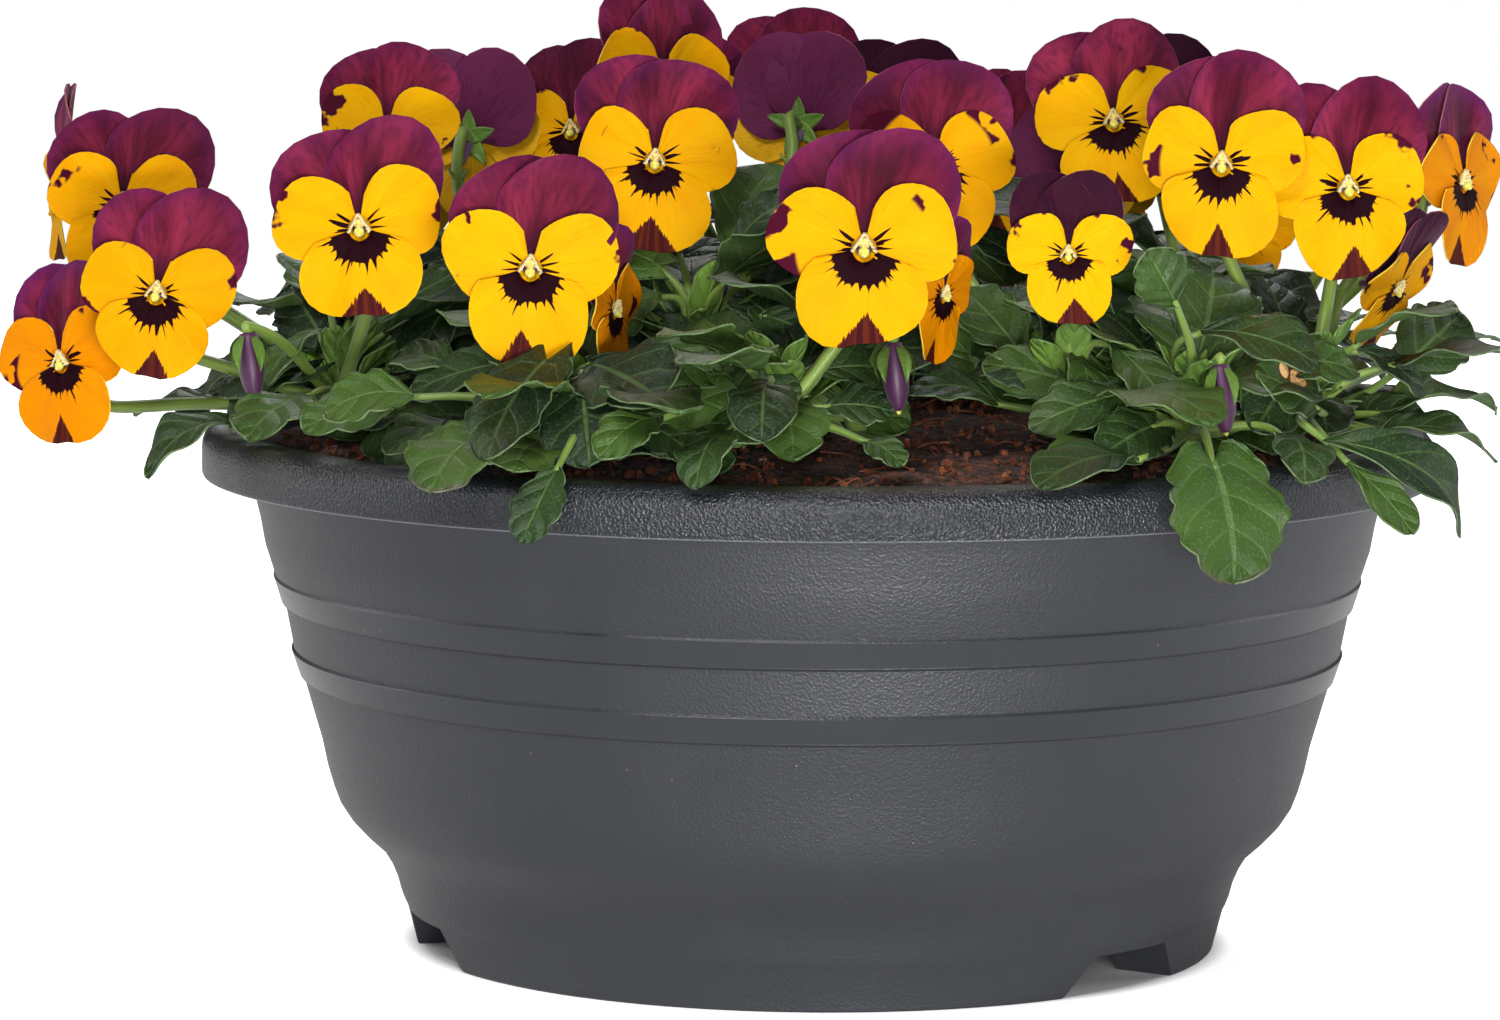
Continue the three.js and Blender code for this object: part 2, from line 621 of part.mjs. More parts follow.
/** True if the point keeps clear of every bloom. */
function clearOfBlooms(point) {
  return BLOOM_PLACES.every((inverse) => {
    const local = point.clone().applyMatrix4(inverse);
    return Math.abs(local.y) > BLOOM_DEPTH || Math.hypot(local.x, local.z) > BLOOM_REACH;
  });
}

/** Distance from a point to the line between two others. */
function lineDistance(point, [from, to]) {
  return new THREE.Line3(from, to).closestPointToPoint(point, true, new THREE.Vector3()).distanceTo(point);
}

/** True if the point keeps clear of the stalks. */
function clearOfStalks(point) {
  return STALKS.every(({ points }) =>
    points.slice(1).every((to, i) => lineDistance(point, [points[i], to]) > STALK_CLEARANCE));
}

/** The blade and the places that must be clear for the leaf tried at a head. */
function triedLeaf(head, azimuth, rise, length) {
  const turn = radians(azimuth);
  const [flat, up] = [Math.cos(radians(rise)), Math.sin(radians(rise))];
  const reach = PETIOLE_LENGTH + length * 0.35;
  const out = new THREE.Vector3(Math.sin(turn) * flat, -Math.cos(turn) * flat, up);
  const base = head.clone().addScaledVector(out, reach);
  const droop = up - 0.45;
  const tip = base.clone().add(new THREE.Vector3(Math.sin(turn), -Math.cos(turn), droop).setLength(length));
  const face = new THREE.Vector3(-Math.sin(turn) * 0.5 * flat, Math.cos(turn) * 0.5 * flat, 1);
  return { head, base, tip, face, width: length * LEAF_WIDTH, arch: LEAF_ARCH };
}

/** Points spread over the blade of a leaf: its middle line and both edges. */
function bladeSamples({ base, tip, face, width, arch }) {
  const along = tip.clone().sub(base);
  const up = face.clone().addScaledVector(along, -face.dot(along) / along.lengthSq()).setLength(arch);
  const side = along.clone().cross(face).setLength(width / 2);
  return [[0, 0], [0.2, 0.7], [0.4, 1], [0.6, 1], [0.8, 0.85], [1, 0]].flatMap(([t, wide]) => {
    const centre = base.clone().addScaledVector(along, t).addScaledVector(up, 4 * t * (1 - t));
    if (wide === 0) return [centre];
    return [-1, -0.5, 0, 0.5, 1].map((k) => centre.clone().addScaledVector(side, k * wide));
  });
}

/** The smaller leaves of a plant: each is turned until it is clear of all that is placed. */
function smallLeaves(plant, large) {
  const taken = large.map(bladeSamples);
  const leaves = [];
  for (let i = 0; i < LEAVES_PER_HEAD; i += 1) {
    plant.heads.map(vec).forEach((head, headIndex) => {
      for (let attempt = 0; attempt < LEAF_ATTEMPTS; attempt += 1) {
        const azimuth = (headIndex * 50 + i * GOLDEN_ANGLE + attempt * 31) % 360;
        const rise = 10 + ((i * 19 + attempt * 23) % 62);
        const length = LEAF_LENGTH + ((headIndex * 5 + i * 7) % LEAF_SPREAD);
        const leaf = triedLeaf(head, azimuth, rise, length);
        const samples = bladeSamples(leaf);
        const free = samples.every((point) => insideWedge(plant, point) > SECTOR_MARGIN
          && overPot(point) && clearOfBlooms(point) && clearOfStalks(point));
        const gap = (index) => (index < large.length ? LARGE_LEAF_CLEARANCE : LEAF_CLEARANCE);
        if (free && taken.every((other, index) => apart(samples, other, gap(index)))) {
          taken.push(samples);
          leaves.push(leaf);
          break;
        }
      }
    });
  }
  return leaves;
}

/** True if no two of the points of the two blades are closer than the gap. */
function apart(samples, others, gap) {
  return samples.every((point) => others.every((other) => point.distanceTo(other) > gap));
}

/** A closed bud on its hooked stalk. */
function bud(head, place) {
  const middle = vec(place);
  const top = middle.clone().add(vec([0, 1, 8]));
  const bend = head.clone().lerp(middle, 0.6);
  bend.z = middle.z + 5;
  const spindle = new THREE.SphereGeometry(1, 5, 4).rotateX(Math.PI / 2).scale(...BUD_SIZE);
  return solidOf(spindle.translate(...place)).add(tube([head, bend, top, middle], BUD_STALK, 3));
}

function makePlant(plant) {
  const heads = plant.heads.map(vec);
  const [x, y] = plant.crown;
  const root = new THREE.Vector3(x, y, soilHeight(x, y));
  const shoots = heads.map((head) => {
    const bend = root.clone().lerp(head, 0.5);
    bend.z = Math.max(root.z, head.z) + 4;
    return tube([root, bend, head], SHOOT_RADIUS, 3).add(knob(head.toArray(), HEAD_RADIUS));
  });
  const large = LARGE_LEAVES.filter(([name]) => name === plant.name)
    .map(([, index, base, tip, face, width, arch]) => ({
      head: heads[index], base: vec(base), tip: vec(tip), face: vec(face), width, arch,
      segments: 5, stemRows: [[0.5, 1], [0.9, 1]],
    }));
  const small = smallLeaves(plant, large).map((leaf) => ({ ...leaf, segments: 4, stemRows: [[0.8, 1]] }));
  const flowers = BLOOMS.filter((bloom, i) => STALKS[i].plant === plant);
  const stalks = STALKS.filter((stalk) => stalk.plant === plant)
    .map(({ points }) => tube(points, STALK_RADIUS, 3));
  const buds = BUDS.filter(([name]) => name === plant.name)
    .map(([, index, place]) => bud(heads[index], place));
  const leaves = [...large, ...small].map(leafSolid);
  const parts = [...shoots, ...leaves, ...stalks, ...flowers.map(calyx), ...buds];
  return meshOf(plant.name, joined([crownPlug(plant), ...parts]), 'leaf');
}

// --------------------------------------------------------------------------- assembly

const violet = new THREE.Group();
violet.name = 'potted_horned_violet';
violet.add(makePot(), makeSoil(), ...PLANTS.map(makePlant), ...makeBlooms());

export default violet;
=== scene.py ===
"""A horned violet (Viola cornuta) in its round plastic bowl, dressed for rendering.

Sizes are in millimetres, and a finished mesh is brought to metres. +Z is up, the origin
is the middle of the bowl's foot on the ground, and -Y is the side that the plant shows
best. Azimuths are measured in degrees from -Y towards +X.
"""

from __future__ import annotations

import logging
import math
import random
from collections.abc import Callable, Sequence
from dataclasses import dataclass
from enum import Enum
from typing import Any

import bmesh
import bpy
from mathutils import Euler, Matrix, Vector, noise

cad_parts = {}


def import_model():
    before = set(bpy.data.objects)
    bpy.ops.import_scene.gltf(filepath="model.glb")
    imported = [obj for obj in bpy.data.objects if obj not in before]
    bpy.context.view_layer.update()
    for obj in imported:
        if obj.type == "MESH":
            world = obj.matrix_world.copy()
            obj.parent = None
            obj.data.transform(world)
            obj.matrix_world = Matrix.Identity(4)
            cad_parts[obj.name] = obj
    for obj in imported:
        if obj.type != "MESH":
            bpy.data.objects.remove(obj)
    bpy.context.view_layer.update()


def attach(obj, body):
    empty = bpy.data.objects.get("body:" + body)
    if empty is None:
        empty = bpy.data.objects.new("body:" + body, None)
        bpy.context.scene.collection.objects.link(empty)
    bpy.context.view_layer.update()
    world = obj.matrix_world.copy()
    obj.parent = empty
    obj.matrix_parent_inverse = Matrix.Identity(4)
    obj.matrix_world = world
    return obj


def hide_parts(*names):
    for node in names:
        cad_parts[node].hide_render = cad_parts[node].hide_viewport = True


log = logging.getLogger("violet")

MM = 0.001
ROOT = "root"
GOLDEN_ANGLE = 137.508

Colour = tuple[float, float, float]
Triple = tuple[float, float, float]


# --------------------------------------------------------- small helpers


def srgb(red: int, green: int, blue: int) -> tuple[float, float, float, float]:
    """A colour from 0 to 255 a channel, as the linear colour that shaders take.

    Args:
        red: Red, 0 to 255.
        green: Green, 0 to 255.
        blue: Blue, 0 to 255.

    Returns:
        The linear colour with full alpha.
    """

    def linear(channel: int) -> float:
        """One channel, made linear."""
        part = channel / 255
        return part / 12.92 if part <= 0.04045 else ((part + 0.055) / 1.055) ** 2.4

    return (linear(red), linear(green), linear(blue), 1.0)


def lerp(low: float, high: float, part: float) -> float:
    """The number that far between two others."""
    return low + (high - low) * part


def azimuth_of(x: float, y: float) -> float:
    """Azimuth of (x, y) in degrees, from -Y towards +X."""
    return math.degrees(math.atan2(x, -y))


def smooth_route(points: Sequence[Vector], steps: int) -> list[Vector]:
    """Points along a smooth route that reaches each of the given points.

    Args:
        points: The points to reach, in order.
        steps: The number of steps between two of them.

    Returns:
        The route's points.
    """
    ends = [points[0] * 2 - points[1], *points, points[-1] * 2 - points[-2]]
    route = [points[0].copy()]
    for before, start, end, after in zip(ends, ends[1:], ends[2:], ends[3:]):
        for step in range(1, steps + 1):
            t = step / steps
            bend = (end - before) * (t - 2 * t**2 + t**3) + (after - start) * (t**3 - t**2)
            along = start * (1 - 3 * t**2 + 2 * t**3) + end * (3 * t**2 - 2 * t**3)
            route.append(along + bend * 0.5)
    return route


# ----------------------------------------------------------- mesh making


class Modelling:
    """A piece in the making: one mesh, in millimetres, until it is finished."""

    def __init__(self) -> None:
        """Starts an empty mesh with its pattern layers."""
        self.mesh = bmesh.new()
        self.blade = self.mesh.loops.layers.uv.new("blade")
        self.face = self.mesh.loops.layers.uv.new("face")
        self.tone = self.mesh.verts.layers.float.new("tone")
        self.seed = self.mesh.verts.layers.float.new("seed")
        self.patch = self.mesh.verts.layers.float.new("patch")
        self.marks = {"tone": 0.5, "seed": 0.0, "patch": 1.0}

    def mark(self, **values: float) -> None:
        """Sets the pattern values that the next shapes carry."""
        self.marks.update(values)

    def sheet(
        self,
        columns: int,
        rows: int,
        place: Callable[[float, float], Vector],
        material: int = 0,
        front: Callable[[float, float], tuple[float, float]] | None = None,
        weld: bool = False,
    ) -> None:
        """A grid that is bent to a shape.

        Args:
            columns: Cells across, along which u runs from -1 to 1.
            rows: Cells along, along which v runs from 0 to 1.
            place: The place of the point (u, v).
            material: The material's index.
            front: The second pattern coordinates of (u, v), where there are any.
            weld: True to join the points that meet, as at the seam of a tube.
        """
        made = bmesh.ops.create_grid(
            self.mesh, x_segments=columns, y_segments=rows, size=1.0
        )["verts"]
        spots = {vert: (vert.co.x, (vert.co.y + 1) / 2) for vert in made}
        faces = {face for vert in made for face in vert.link_faces}
        for face in faces:
            face.smooth = True
            face.material_index = material
            for loop in face.loops:
                u, v = spots[loop.vert]
                loop[self.blade].uv = ((u + 1) / 2, v)
                if front is not None:
                    loop[self.face].uv = front(u, v)
        for vert, (u, v) in spots.items():
            vert.co = place(u, v)
            vert[self.tone] = self.marks["tone"]
            vert[self.seed] = self.marks["seed"]
            vert[self.patch] = self.marks["patch"]
        if weld:
            bmesh.ops.remove_doubles(self.mesh, verts=made, dist=1e-3)

    def tube(
        self,
        route: Sequence[Vector],
        radius: Callable[[float], float],
        sides: int = 8,
        material: int = 0,
        ridge: float = 0.0,
    ) -> None:
        """A closed tube along a route.

        Args:
            route: The points of the route.
            radius: The radius at each fraction of the route.
            sides: The number of sides.
            material: The material's index.
            ridge: How far four ridges stand out, as a part of the radius.
        """
        frames: list[tuple[Vector, Vector]] = []
        side = Vector((1, 0.02, 0.01))
        last = len(route) - 1
        for i in range(last + 1):
            along = (route[min(i + 1, last)] - route[max(i - 1, 0)]).normalized()
            side = (side - along * side.dot(along)).normalized()
            frames.append((side.copy(), along.cross(side)))

        def place(u: float, v: float) -> Vector:
            """The place of a point of the tube's skin."""
            i = min(last + 2, round(v * (last + 2)))
            at = min(max(i - 1, 0), last)
            across, up = frames[at]
            turn = math.pi * u
            reach = radius(at / last) * (1 + ridge * math.cos(4 * turn))
            if i in (0, last + 2):
                reach = 0.0
            return route[at] + (across * math.cos(turn) + up * math.sin(turn)) * reach

        self.sheet(sides, last + 2, place, material, weld=True)

    def finish(
        self,
        name: str,
        materials: Sequence[bpy.types.Material],
        thickness: float = 0.0,
        reverse: int = 0,
    ) -> bpy.types.Object:
        """The finished piece, in metres.

        Args:
            name: The piece's name.
            materials: Its materials, in the order of their indices.
            thickness: The thickness that its sheets get, in mm, or 0.
            reverse: How many materials further the back of a sheet is.

        Returns:
            The object, which rides on the body.
        """
        bmesh.ops.scale(self.mesh, vec=(MM, MM, MM), verts=self.mesh.verts)
        data = bpy.data.meshes.new(name)
        self.mesh.to_mesh(data)
        self.mesh.free()
        piece = bpy.data.objects.new(name, data)
        bpy.context.scene.collection.objects.link(piece)
        for material in materials:
            data.materials.append(material)
        if thickness:
            wall = piece.modifiers.new("thickness", "SOLIDIFY")
            wall.thickness = thickness * MM
            wall.offset = -1.0
            wall.material_offset = reverse
            wall.material_offset_rim = 0
        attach(piece, ROOT)
        return piece


# -------------------------------------------------------- shader helpers


Socket = Any


class Graph:
    """The nodes of a material or a node group, made by short calls."""

    def __init__(self, tree: bpy.types.NodeTree) -> None:
        """Works in the given node tree."""
        self.tree = tree

    def add(self, kind: str, **settings: Any) -> bpy.types.Node:
        """A new node with its settings."""
        node = self.tree.nodes.new(kind)
        for name, value in settings.items():
            setattr(node, name, value)
        return node

    def feed(self, socket: Socket, value: Any) -> None:
        """Links a socket to another, or gives it a plain value."""
        if isinstance(value, bpy.types.NodeSocket):
            self.tree.links.new(value, socket)
        else:
            socket.default_value = value

    def math(self, operation: str, *values: Any, clamp: bool = False) -> Socket:
        """The result of a sum on up to three values.

        Args:
            operation: The name of the sum.
            values: The values it takes.
            clamp: True to keep the result from 0 to 1.

        Returns:
            The socket of the result.
        """
        node = self.add("ShaderNodeMath", operation=operation, use_clamp=clamp)
        for socket, value in zip(node.inputs, values):
            self.feed(socket, value)
        return node.outputs[0]

    def plus(self, first: Any, second: Any, clamp: bool = False) -> Socket:
        """The sum of two values."""
        return self.math("ADD", first, second, clamp=clamp)

    def minus(self, first: Any, second: Any) -> Socket:
        """The first value less the second."""
        return self.math("SUBTRACT", first, second)

    def times(self, first: Any, second: Any) -> Socket:
        """The product of two values."""
        return self.math("MULTIPLY", first, second)

    def step(self, value: Any, low: float, high: float) -> Socket:
        """0 below low and 1 above high, with a soft edge between them."""
        node = self.add("ShaderNodeMapRange", interpolation_type="SMOOTHSTEP", clamp=True)
        self.feed(node.inputs["Value"], value)
        node.inputs["From Min"].default_value = low
        node.inputs["From Max"].default_value = high
        return node.outputs["Result"]

    def ranged(self, value: Any, low: float, high: float) -> Socket:
        """A value from 0 to 1, brought to another range."""
        node = self.add("ShaderNodeMapRange", clamp=True)
        self.feed(node.inputs["Value"], value)
        node.inputs["To Min"].default_value = low
        node.inputs["To Max"].default_value = high
        return node.outputs["Result"]

    def mix(self, part: Any, first: Any, second: Any) -> Socket:
        """A mix of two colours."""
        node = self.add("ShaderNodeMix", data_type="RGBA")
        self.feed(node.inputs["Factor"], part)
        self.feed(node.inputs[6], first)
        self.feed(node.inputs[7], second)
        return node.outputs[2]

    def noise(self, vector: Any, scale: float, detail: float = 2.0) -> Socket:
        """Soft noise over a surface."""
        node = self.add("ShaderNodeTexNoise")
        self.feed(node.inputs["Vector"], vector)
        node.inputs["Scale"].default_value = scale
        node.inputs["Detail"].default_value = detail
        return node.outputs["Fac"]

    def line_noise(self, value: Any, scale: float, detail: float = 1.0) -> Socket:
        """Noise along one number."""
        node = self.add("ShaderNodeTexNoise", noise_dimensions="1D")
        self.feed(node.inputs["W"], value)
        node.inputs["Scale"].default_value = scale
        node.inputs["Detail"].default_value = detail
        return node.outputs["Fac"]

    def cells(self, vector: Any, scale: float) -> Socket:
        """Distance from the middle of the nearest of many cells."""
        node = self.add("ShaderNodeTexVoronoi")
        self.feed(node.inputs["Vector"], vector)
        node.inputs["Scale"].default_value = scale
        return node.outputs["Distance"]

    def attribute(self, name: str) -> Socket:
        """A value that the piece's mesh carries."""
        return self.add("ShaderNodeAttribute", attribute_name=name).outputs["Fac"]

    def object_place(self) -> Socket:
        """The place on the object, in metres."""
        return self.add("ShaderNodeTexCoord").outputs["Object"]

    def uv(self, name: str) -> tuple[Socket, Socket]:
        """The two pattern coordinates of one of the mesh's maps."""
        split = self.add("ShaderNodeSeparateXYZ")
        self.feed(split.inputs[0], self.add("ShaderNodeUVMap", uv_map=name).outputs[0])
        return split.outputs[0], split.outputs[1]

    def vector(self, x: Any, y: Any, z: Any = 0.0) -> Socket:
        """Three numbers as one vector."""
        node = self.add("ShaderNodeCombineXYZ")
        for socket, value in zip(node.inputs, (x, y, z)):
            self.feed(socket, value)
        return node.outputs[0]

    def bump(self, height: Any, strength: float, distance: float) -> Socket:
        """A normal that is tilted by a height; the distance is in mm."""
        node = self.add("ShaderNodeBump")
        node.inputs["Strength"].default_value = strength
        node.inputs["Distance"].default_value = distance * MM
        self.feed(node.inputs["Height"], height)
        return node.outputs["Normal"]

    def group(self, group: bpy.types.NodeTree, **values: Any) -> bpy.types.Node:
        """A shared group with its own values."""
        node = self.add("ShaderNodeGroup")
        node.node_tree = group
        for name, value in values.items():
            self.feed(node.inputs[name.replace("_", " ").capitalize()], value)
        return node


class SharedEffects:
    """The effects that several finishes use, each a node group that is made once."""

    def __init__(self) -> None:
        """Makes the groups."""
        self.streaks = self._streaks()
        self.speckle = self._speckle()

    @staticmethod
    def _start(name: str, inputs: dict[str, float], outputs: Sequence[str]) -> tuple:
        """An empty group with its sockets, its graph and its two ends.

        Args:
            name: The name of the group.
            inputs: The names and values of its inputs.
            outputs: The names of its outputs.

        Returns:
            The group, its graph, its input node and its output node.
        """
        tree = bpy.data.node_groups.new(name, "ShaderNodeTree")
        for title, value in inputs.items():
            socket = tree.interface.new_socket(
                title, in_out="INPUT", socket_type="NodeSocketFloat"
            )
            socket.default_value = value
        for title in outputs:
            tree.interface.new_socket(
                title, in_out="OUTPUT", socket_type="NodeSocketFloat"
            )
        graph = Graph(tree)
        return tree, graph, graph.add("NodeGroupInput"), graph.add("NodeGroupOutput")

    def _streaks(self) -> bpy.types.NodeTree:
        """Fine lines that run along a petal from its claw, and broad ones among them."""
        tree, graph, source, result = self._start(
            "petal streaks",
            {"Across": 0.0, "Along": 0.0, "Seed": 0.0, "Density": 1.0},
            ("Broad", "Fine"),
        )
        across = graph.times(source.outputs["Across"], source.outputs["Density"])
        spot = graph.vector(across, source.outputs["Along"], source.outputs["Seed"])
        stretched = graph.add("ShaderNodeMapping")
        graph.feed(stretched.inputs["Vector"], spot)
        stretched.inputs["Scale"].default_value = (9.0, 0.9, 7.0)
        graph.feed(result.inputs["Broad"], graph.noise(stretched.outputs[0], 1.0, 3.0))
        graph.feed(result.inputs["Fine"], graph.noise(stretched.outputs[0], 6.0, 2.0))
        return tree

    def _speckle(self) -> bpy.types.NodeTree:
        """Fine dots and soft patches over a surface, from its place in metres."""
        tree, graph, source, result = self._start(
            "fine speckle", {"Scale": 1000.0}, ("Dots", "Patches")
        )
        place = graph.object_place()
        dots = graph.add("ShaderNodeTexNoise")
        graph.feed(dots.inputs["Vector"], place)
        graph.feed(dots.inputs["Scale"], source.outputs["Scale"])
        dots.inputs["Detail"].default_value = 2.0
        graph.feed(result.inputs["Dots"], graph.step(dots.outputs["Fac"], 0.5, 0.72))
        graph.feed(result.inputs["Patches"], graph.noise(place, 45.0, 3.0))
        return tree


# -------------------------------------------------------------- finishes


@dataclass(frozen=True)
class Surface:
    """The plain values of a finish: its gloss, its sheen and its softness."""

    roughness: float
    sheen: float = 0.0
    sheen_tint: Colour = (1.0, 1.0, 1.0)
    gloss: float = 0.5
    subsurface: float = 0.0

    def start(self, name: str) -> tuple[bpy.types.Material, Graph, bpy.types.Node]:
        """A new material with these values.

        Args:
            name: The material's name.

        Returns:
            The material, the graph of its nodes and its shader.
        """
        material = bpy.data.materials.new(name)
        material.use_nodes = True
        graph = Graph(material.node_tree)
        shader = material.node_tree.nodes["Principled BSDF"]
        shader.inputs["Roughness"].default_value = self.roughness
        shader.inputs["Sheen Weight"].default_value = self.sheen
        shader.inputs["Sheen Tint"].default_value = (*self.sheen_tint, 1.0)
        shader.inputs["Specular IOR Level"].default_value = self.gloss
        shader.inputs["Subsurface Weight"].default_value = self.subsurface
        shader.inputs["Subsurface Scale"].default_value = 1.5 * MM
        return material, graph, shader


class PetalPart(Enum):
    """The three kinds of petal of a bloom."""

    LIP = "lip"
    SIDE = "side"
    UPPER = "upper"


@dataclass(frozen=True)
class YellowPetalFinish:
    """Yellow petal skin with its black whiskered blotch or lines, and its dark patches."""

    part: PetalPart
    lemon: tuple = srgb(208, 156, 0)
    orange: tuple = srgb(206, 122, 0)
    ink: tuple = srgb(26, 2, 9)
    patch: tuple = srgb(56, 12, 18)
    tawny: tuple = srgb(84, 32, 14)
    smudge: tuple = srgb(62, 6, 28)
    cream: tuple = srgb(232, 196, 70)
    blotch_reach: float = 7.2
    line_reach: float = 2.6
    face_width: float = 60.0

    def make(self, shared: SharedEffects) -> bpy.types.Material:
        """The material, with the shared effects."""
        surface = Surface(0.6, gloss=0.04, subsurface=0.08)
        material, graph, shader = surface.start(f"yellow {self.part.value} petal")
        across, along = graph.uv("blade")
        seed = graph.attribute("seed")
        streaks = graph.group(shared.streaks, Across=across, Along=along, Seed=seed, Density=1.0)
        drift = graph.ranged(streaks.outputs["Broad"], -0.45, 0.5)
        depth = graph.plus(graph.attribute("tone"), drift, clamp=True)
        colour = graph.mix(depth, self.lemon, self.orange)
        colour = graph.mix(graph.step(along, 0.98, 1.0), colour, self.cream)
        fine = graph.ranged(graph.step(streaks.outputs["Fine"], 0.35, 0.7), 0.0, 0.12)
        colour = graph.mix(fine, colour, self.orange)
        for mask, paint in self._marks(graph, seed):
            colour = graph.mix(mask, colour, paint)
        graph.feed(shader.inputs["Base Color"], colour)
        folds = graph.plus(graph.times(streaks.outputs["Broad"], 6.0), streaks.outputs["Fine"])
        graph.feed(shader.inputs["Normal"], graph.bump(folds, 0.5, 0.25))
        return material

    def _marks(self, graph: Graph, seed: Socket) -> list[tuple[Socket, Any]]:
        """The masks and colours of the dark marks, from the middle of the bloom out.

        Args:
            graph: The material's nodes.
            seed: The bloom's own number.

        Returns:
            Each mask and its colour, in the order in which they go on.
        """
        u, v = graph.uv("face")
        x = graph.times(graph.minus(u, 0.5), self.face_width)
        z = graph.times(graph.minus(v, 0.5), self.face_width)
        down = graph.times(z, -1.0)
        reach = graph.math("POWER", graph.plus(graph.times(x, x), graph.times(z, z)), 0.5)
        turn = graph.math("ARCTAN2", x, down)
        if self.part is PetalPart.LIP:
            wedge = self._lip_patch(graph, x, down, seed)
            grain = graph.line_noise(graph.plus(graph.times(turn, 14.0), seed), 1.0, 2.0)
            tawny = graph.times(wedge, graph.step(grain, 0.35, 0.75))
            blotch = self._blotch(graph, turn, reach, seed)
            return [(wedge, self.patch), (tawny, self.tawny), (blotch, self.ink)]
        smudge = self._smudge(graph, x, z, reach, seed)
        return [(smudge, self.smudge), (self._whiskers(graph, turn, reach, seed), self.ink)]

    def _blotch(self, graph: Graph, turn: Socket, reach: Socket, seed: Socket) -> Socket:
        """The mask of the black blotch on the lip, with its spiky edge.

        Args:
            graph: The material's nodes.
            turn: Angle round the throat from straight down, in radians.
            reach: Distance from the throat, in mm.
            seed: The bloom's own number.

        Returns:
            The mask.
        """
        off = graph.math("ABSOLUTE", turn)
        wander = graph.line_noise(graph.plus(turn, seed), 3.0, 2.0)
        jitter = graph.line_noise(graph.plus(turn, seed), 9.0)
        comb = graph.plus(graph.times(turn, 4.6), graph.times(jitter, 1.3))
        saw = graph.times(graph.math("PINGPONG", comb, 0.5), 2.0)
        tall = graph.math("POWER", graph.times(jitter, 1.75), 2.6)
        spike = graph.times(graph.math("POWER", saw, 2.0), graph.times(tall, 1.9))
        edge = graph.plus(graph.plus(spike, self.blotch_reach - 1.1), graph.times(wander, 1.6))
        wide = graph.ranged(graph.step(off, 0.3, 1.5), 1.06, 0.94)
        narrow = graph.times(graph.step(off, 2.1, 1.6), wide)
        inside = graph.minus(graph.times(edge, narrow), reach)
        open_ring = graph.minus(reach, graph.plus(graph.times(off, -0.35), 2.6))
        return graph.times(graph.step(inside, 0.0, 0.28), graph.step(open_ring, 0.0, 0.25))

    def _whiskers(self, graph: Graph, turn: Socket, reach: Socket, seed: Socket) -> Socket:
        """The mask of the short black lines on a side petal."""
        off = graph.math("ABSOLUTE", turn)
        wander = graph.line_noise(graph.plus(turn, seed), 3.0, 2.0)
        window = graph.times(graph.step(off, 1.3, 1.5), graph.step(off, 2.45, 2.2))
        comb = graph.plus(graph.times(turn, 2.7), graph.times(wander, 0.9))
        saw = graph.times(graph.math("PINGPONG", comb, 0.5), 2.0)
        lines = graph.times(saw, window)
        length = graph.plus(graph.times(wander, 4.4), 2.2)
        edge = graph.plus(graph.times(lines, length), self.line_reach - 0.7)
        inside = graph.minus(edge, reach)
        return graph.times(graph.step(inside, 0.0, 0.3),
                           graph.step(reach, self.line_reach - 0.5, self.line_reach))

    def _lip_patch(self, graph: Graph, x: Socket, down: Socket, seed: Socket) -> Socket:
        """The mask of the dark wedge at the lower edge of the lip.

        Args:
            graph: The material's nodes.
            x: Place across the bloom, in mm.
            down: Place below the throat, in mm.
            seed: The bloom's own number.

        Returns:
            The mask.
        """
        rough = graph.line_noise(graph.plus(graph.times(x, 1.9), seed), 1.2, 3.0)
        drop = graph.minus(down, graph.plus(graph.times(rough, 2.4), 11.0))
        sway = graph.times(graph.math("SINE", graph.times(seed, 2.3)), 1.4)
        aside = graph.math("ABSOLUTE", graph.minus(x, sway))
        width = graph.times(graph.times(drop, 0.68), graph.attribute("patch"))
        return graph.step(graph.minus(width, aside), 0.0, 0.35)

    def _smudge(self, graph: Graph, x: Socket, z: Socket, reach: Socket,
                seed: Socket) -> Socket:
        """The mask of the dark marks near the outer edge of some side petals."""
        spot = graph.vector(x, z, graph.times(seed, 5.3))
        blots = graph.step(graph.noise(spot, 0.11, 3.0), 0.57, 0.6)
        out = graph.step(reach, 12.6, 13.6)
        some = graph.step(graph.attribute("patch"), 0.7, 0.75)
        return graph.times(graph.times(blots, out), some)


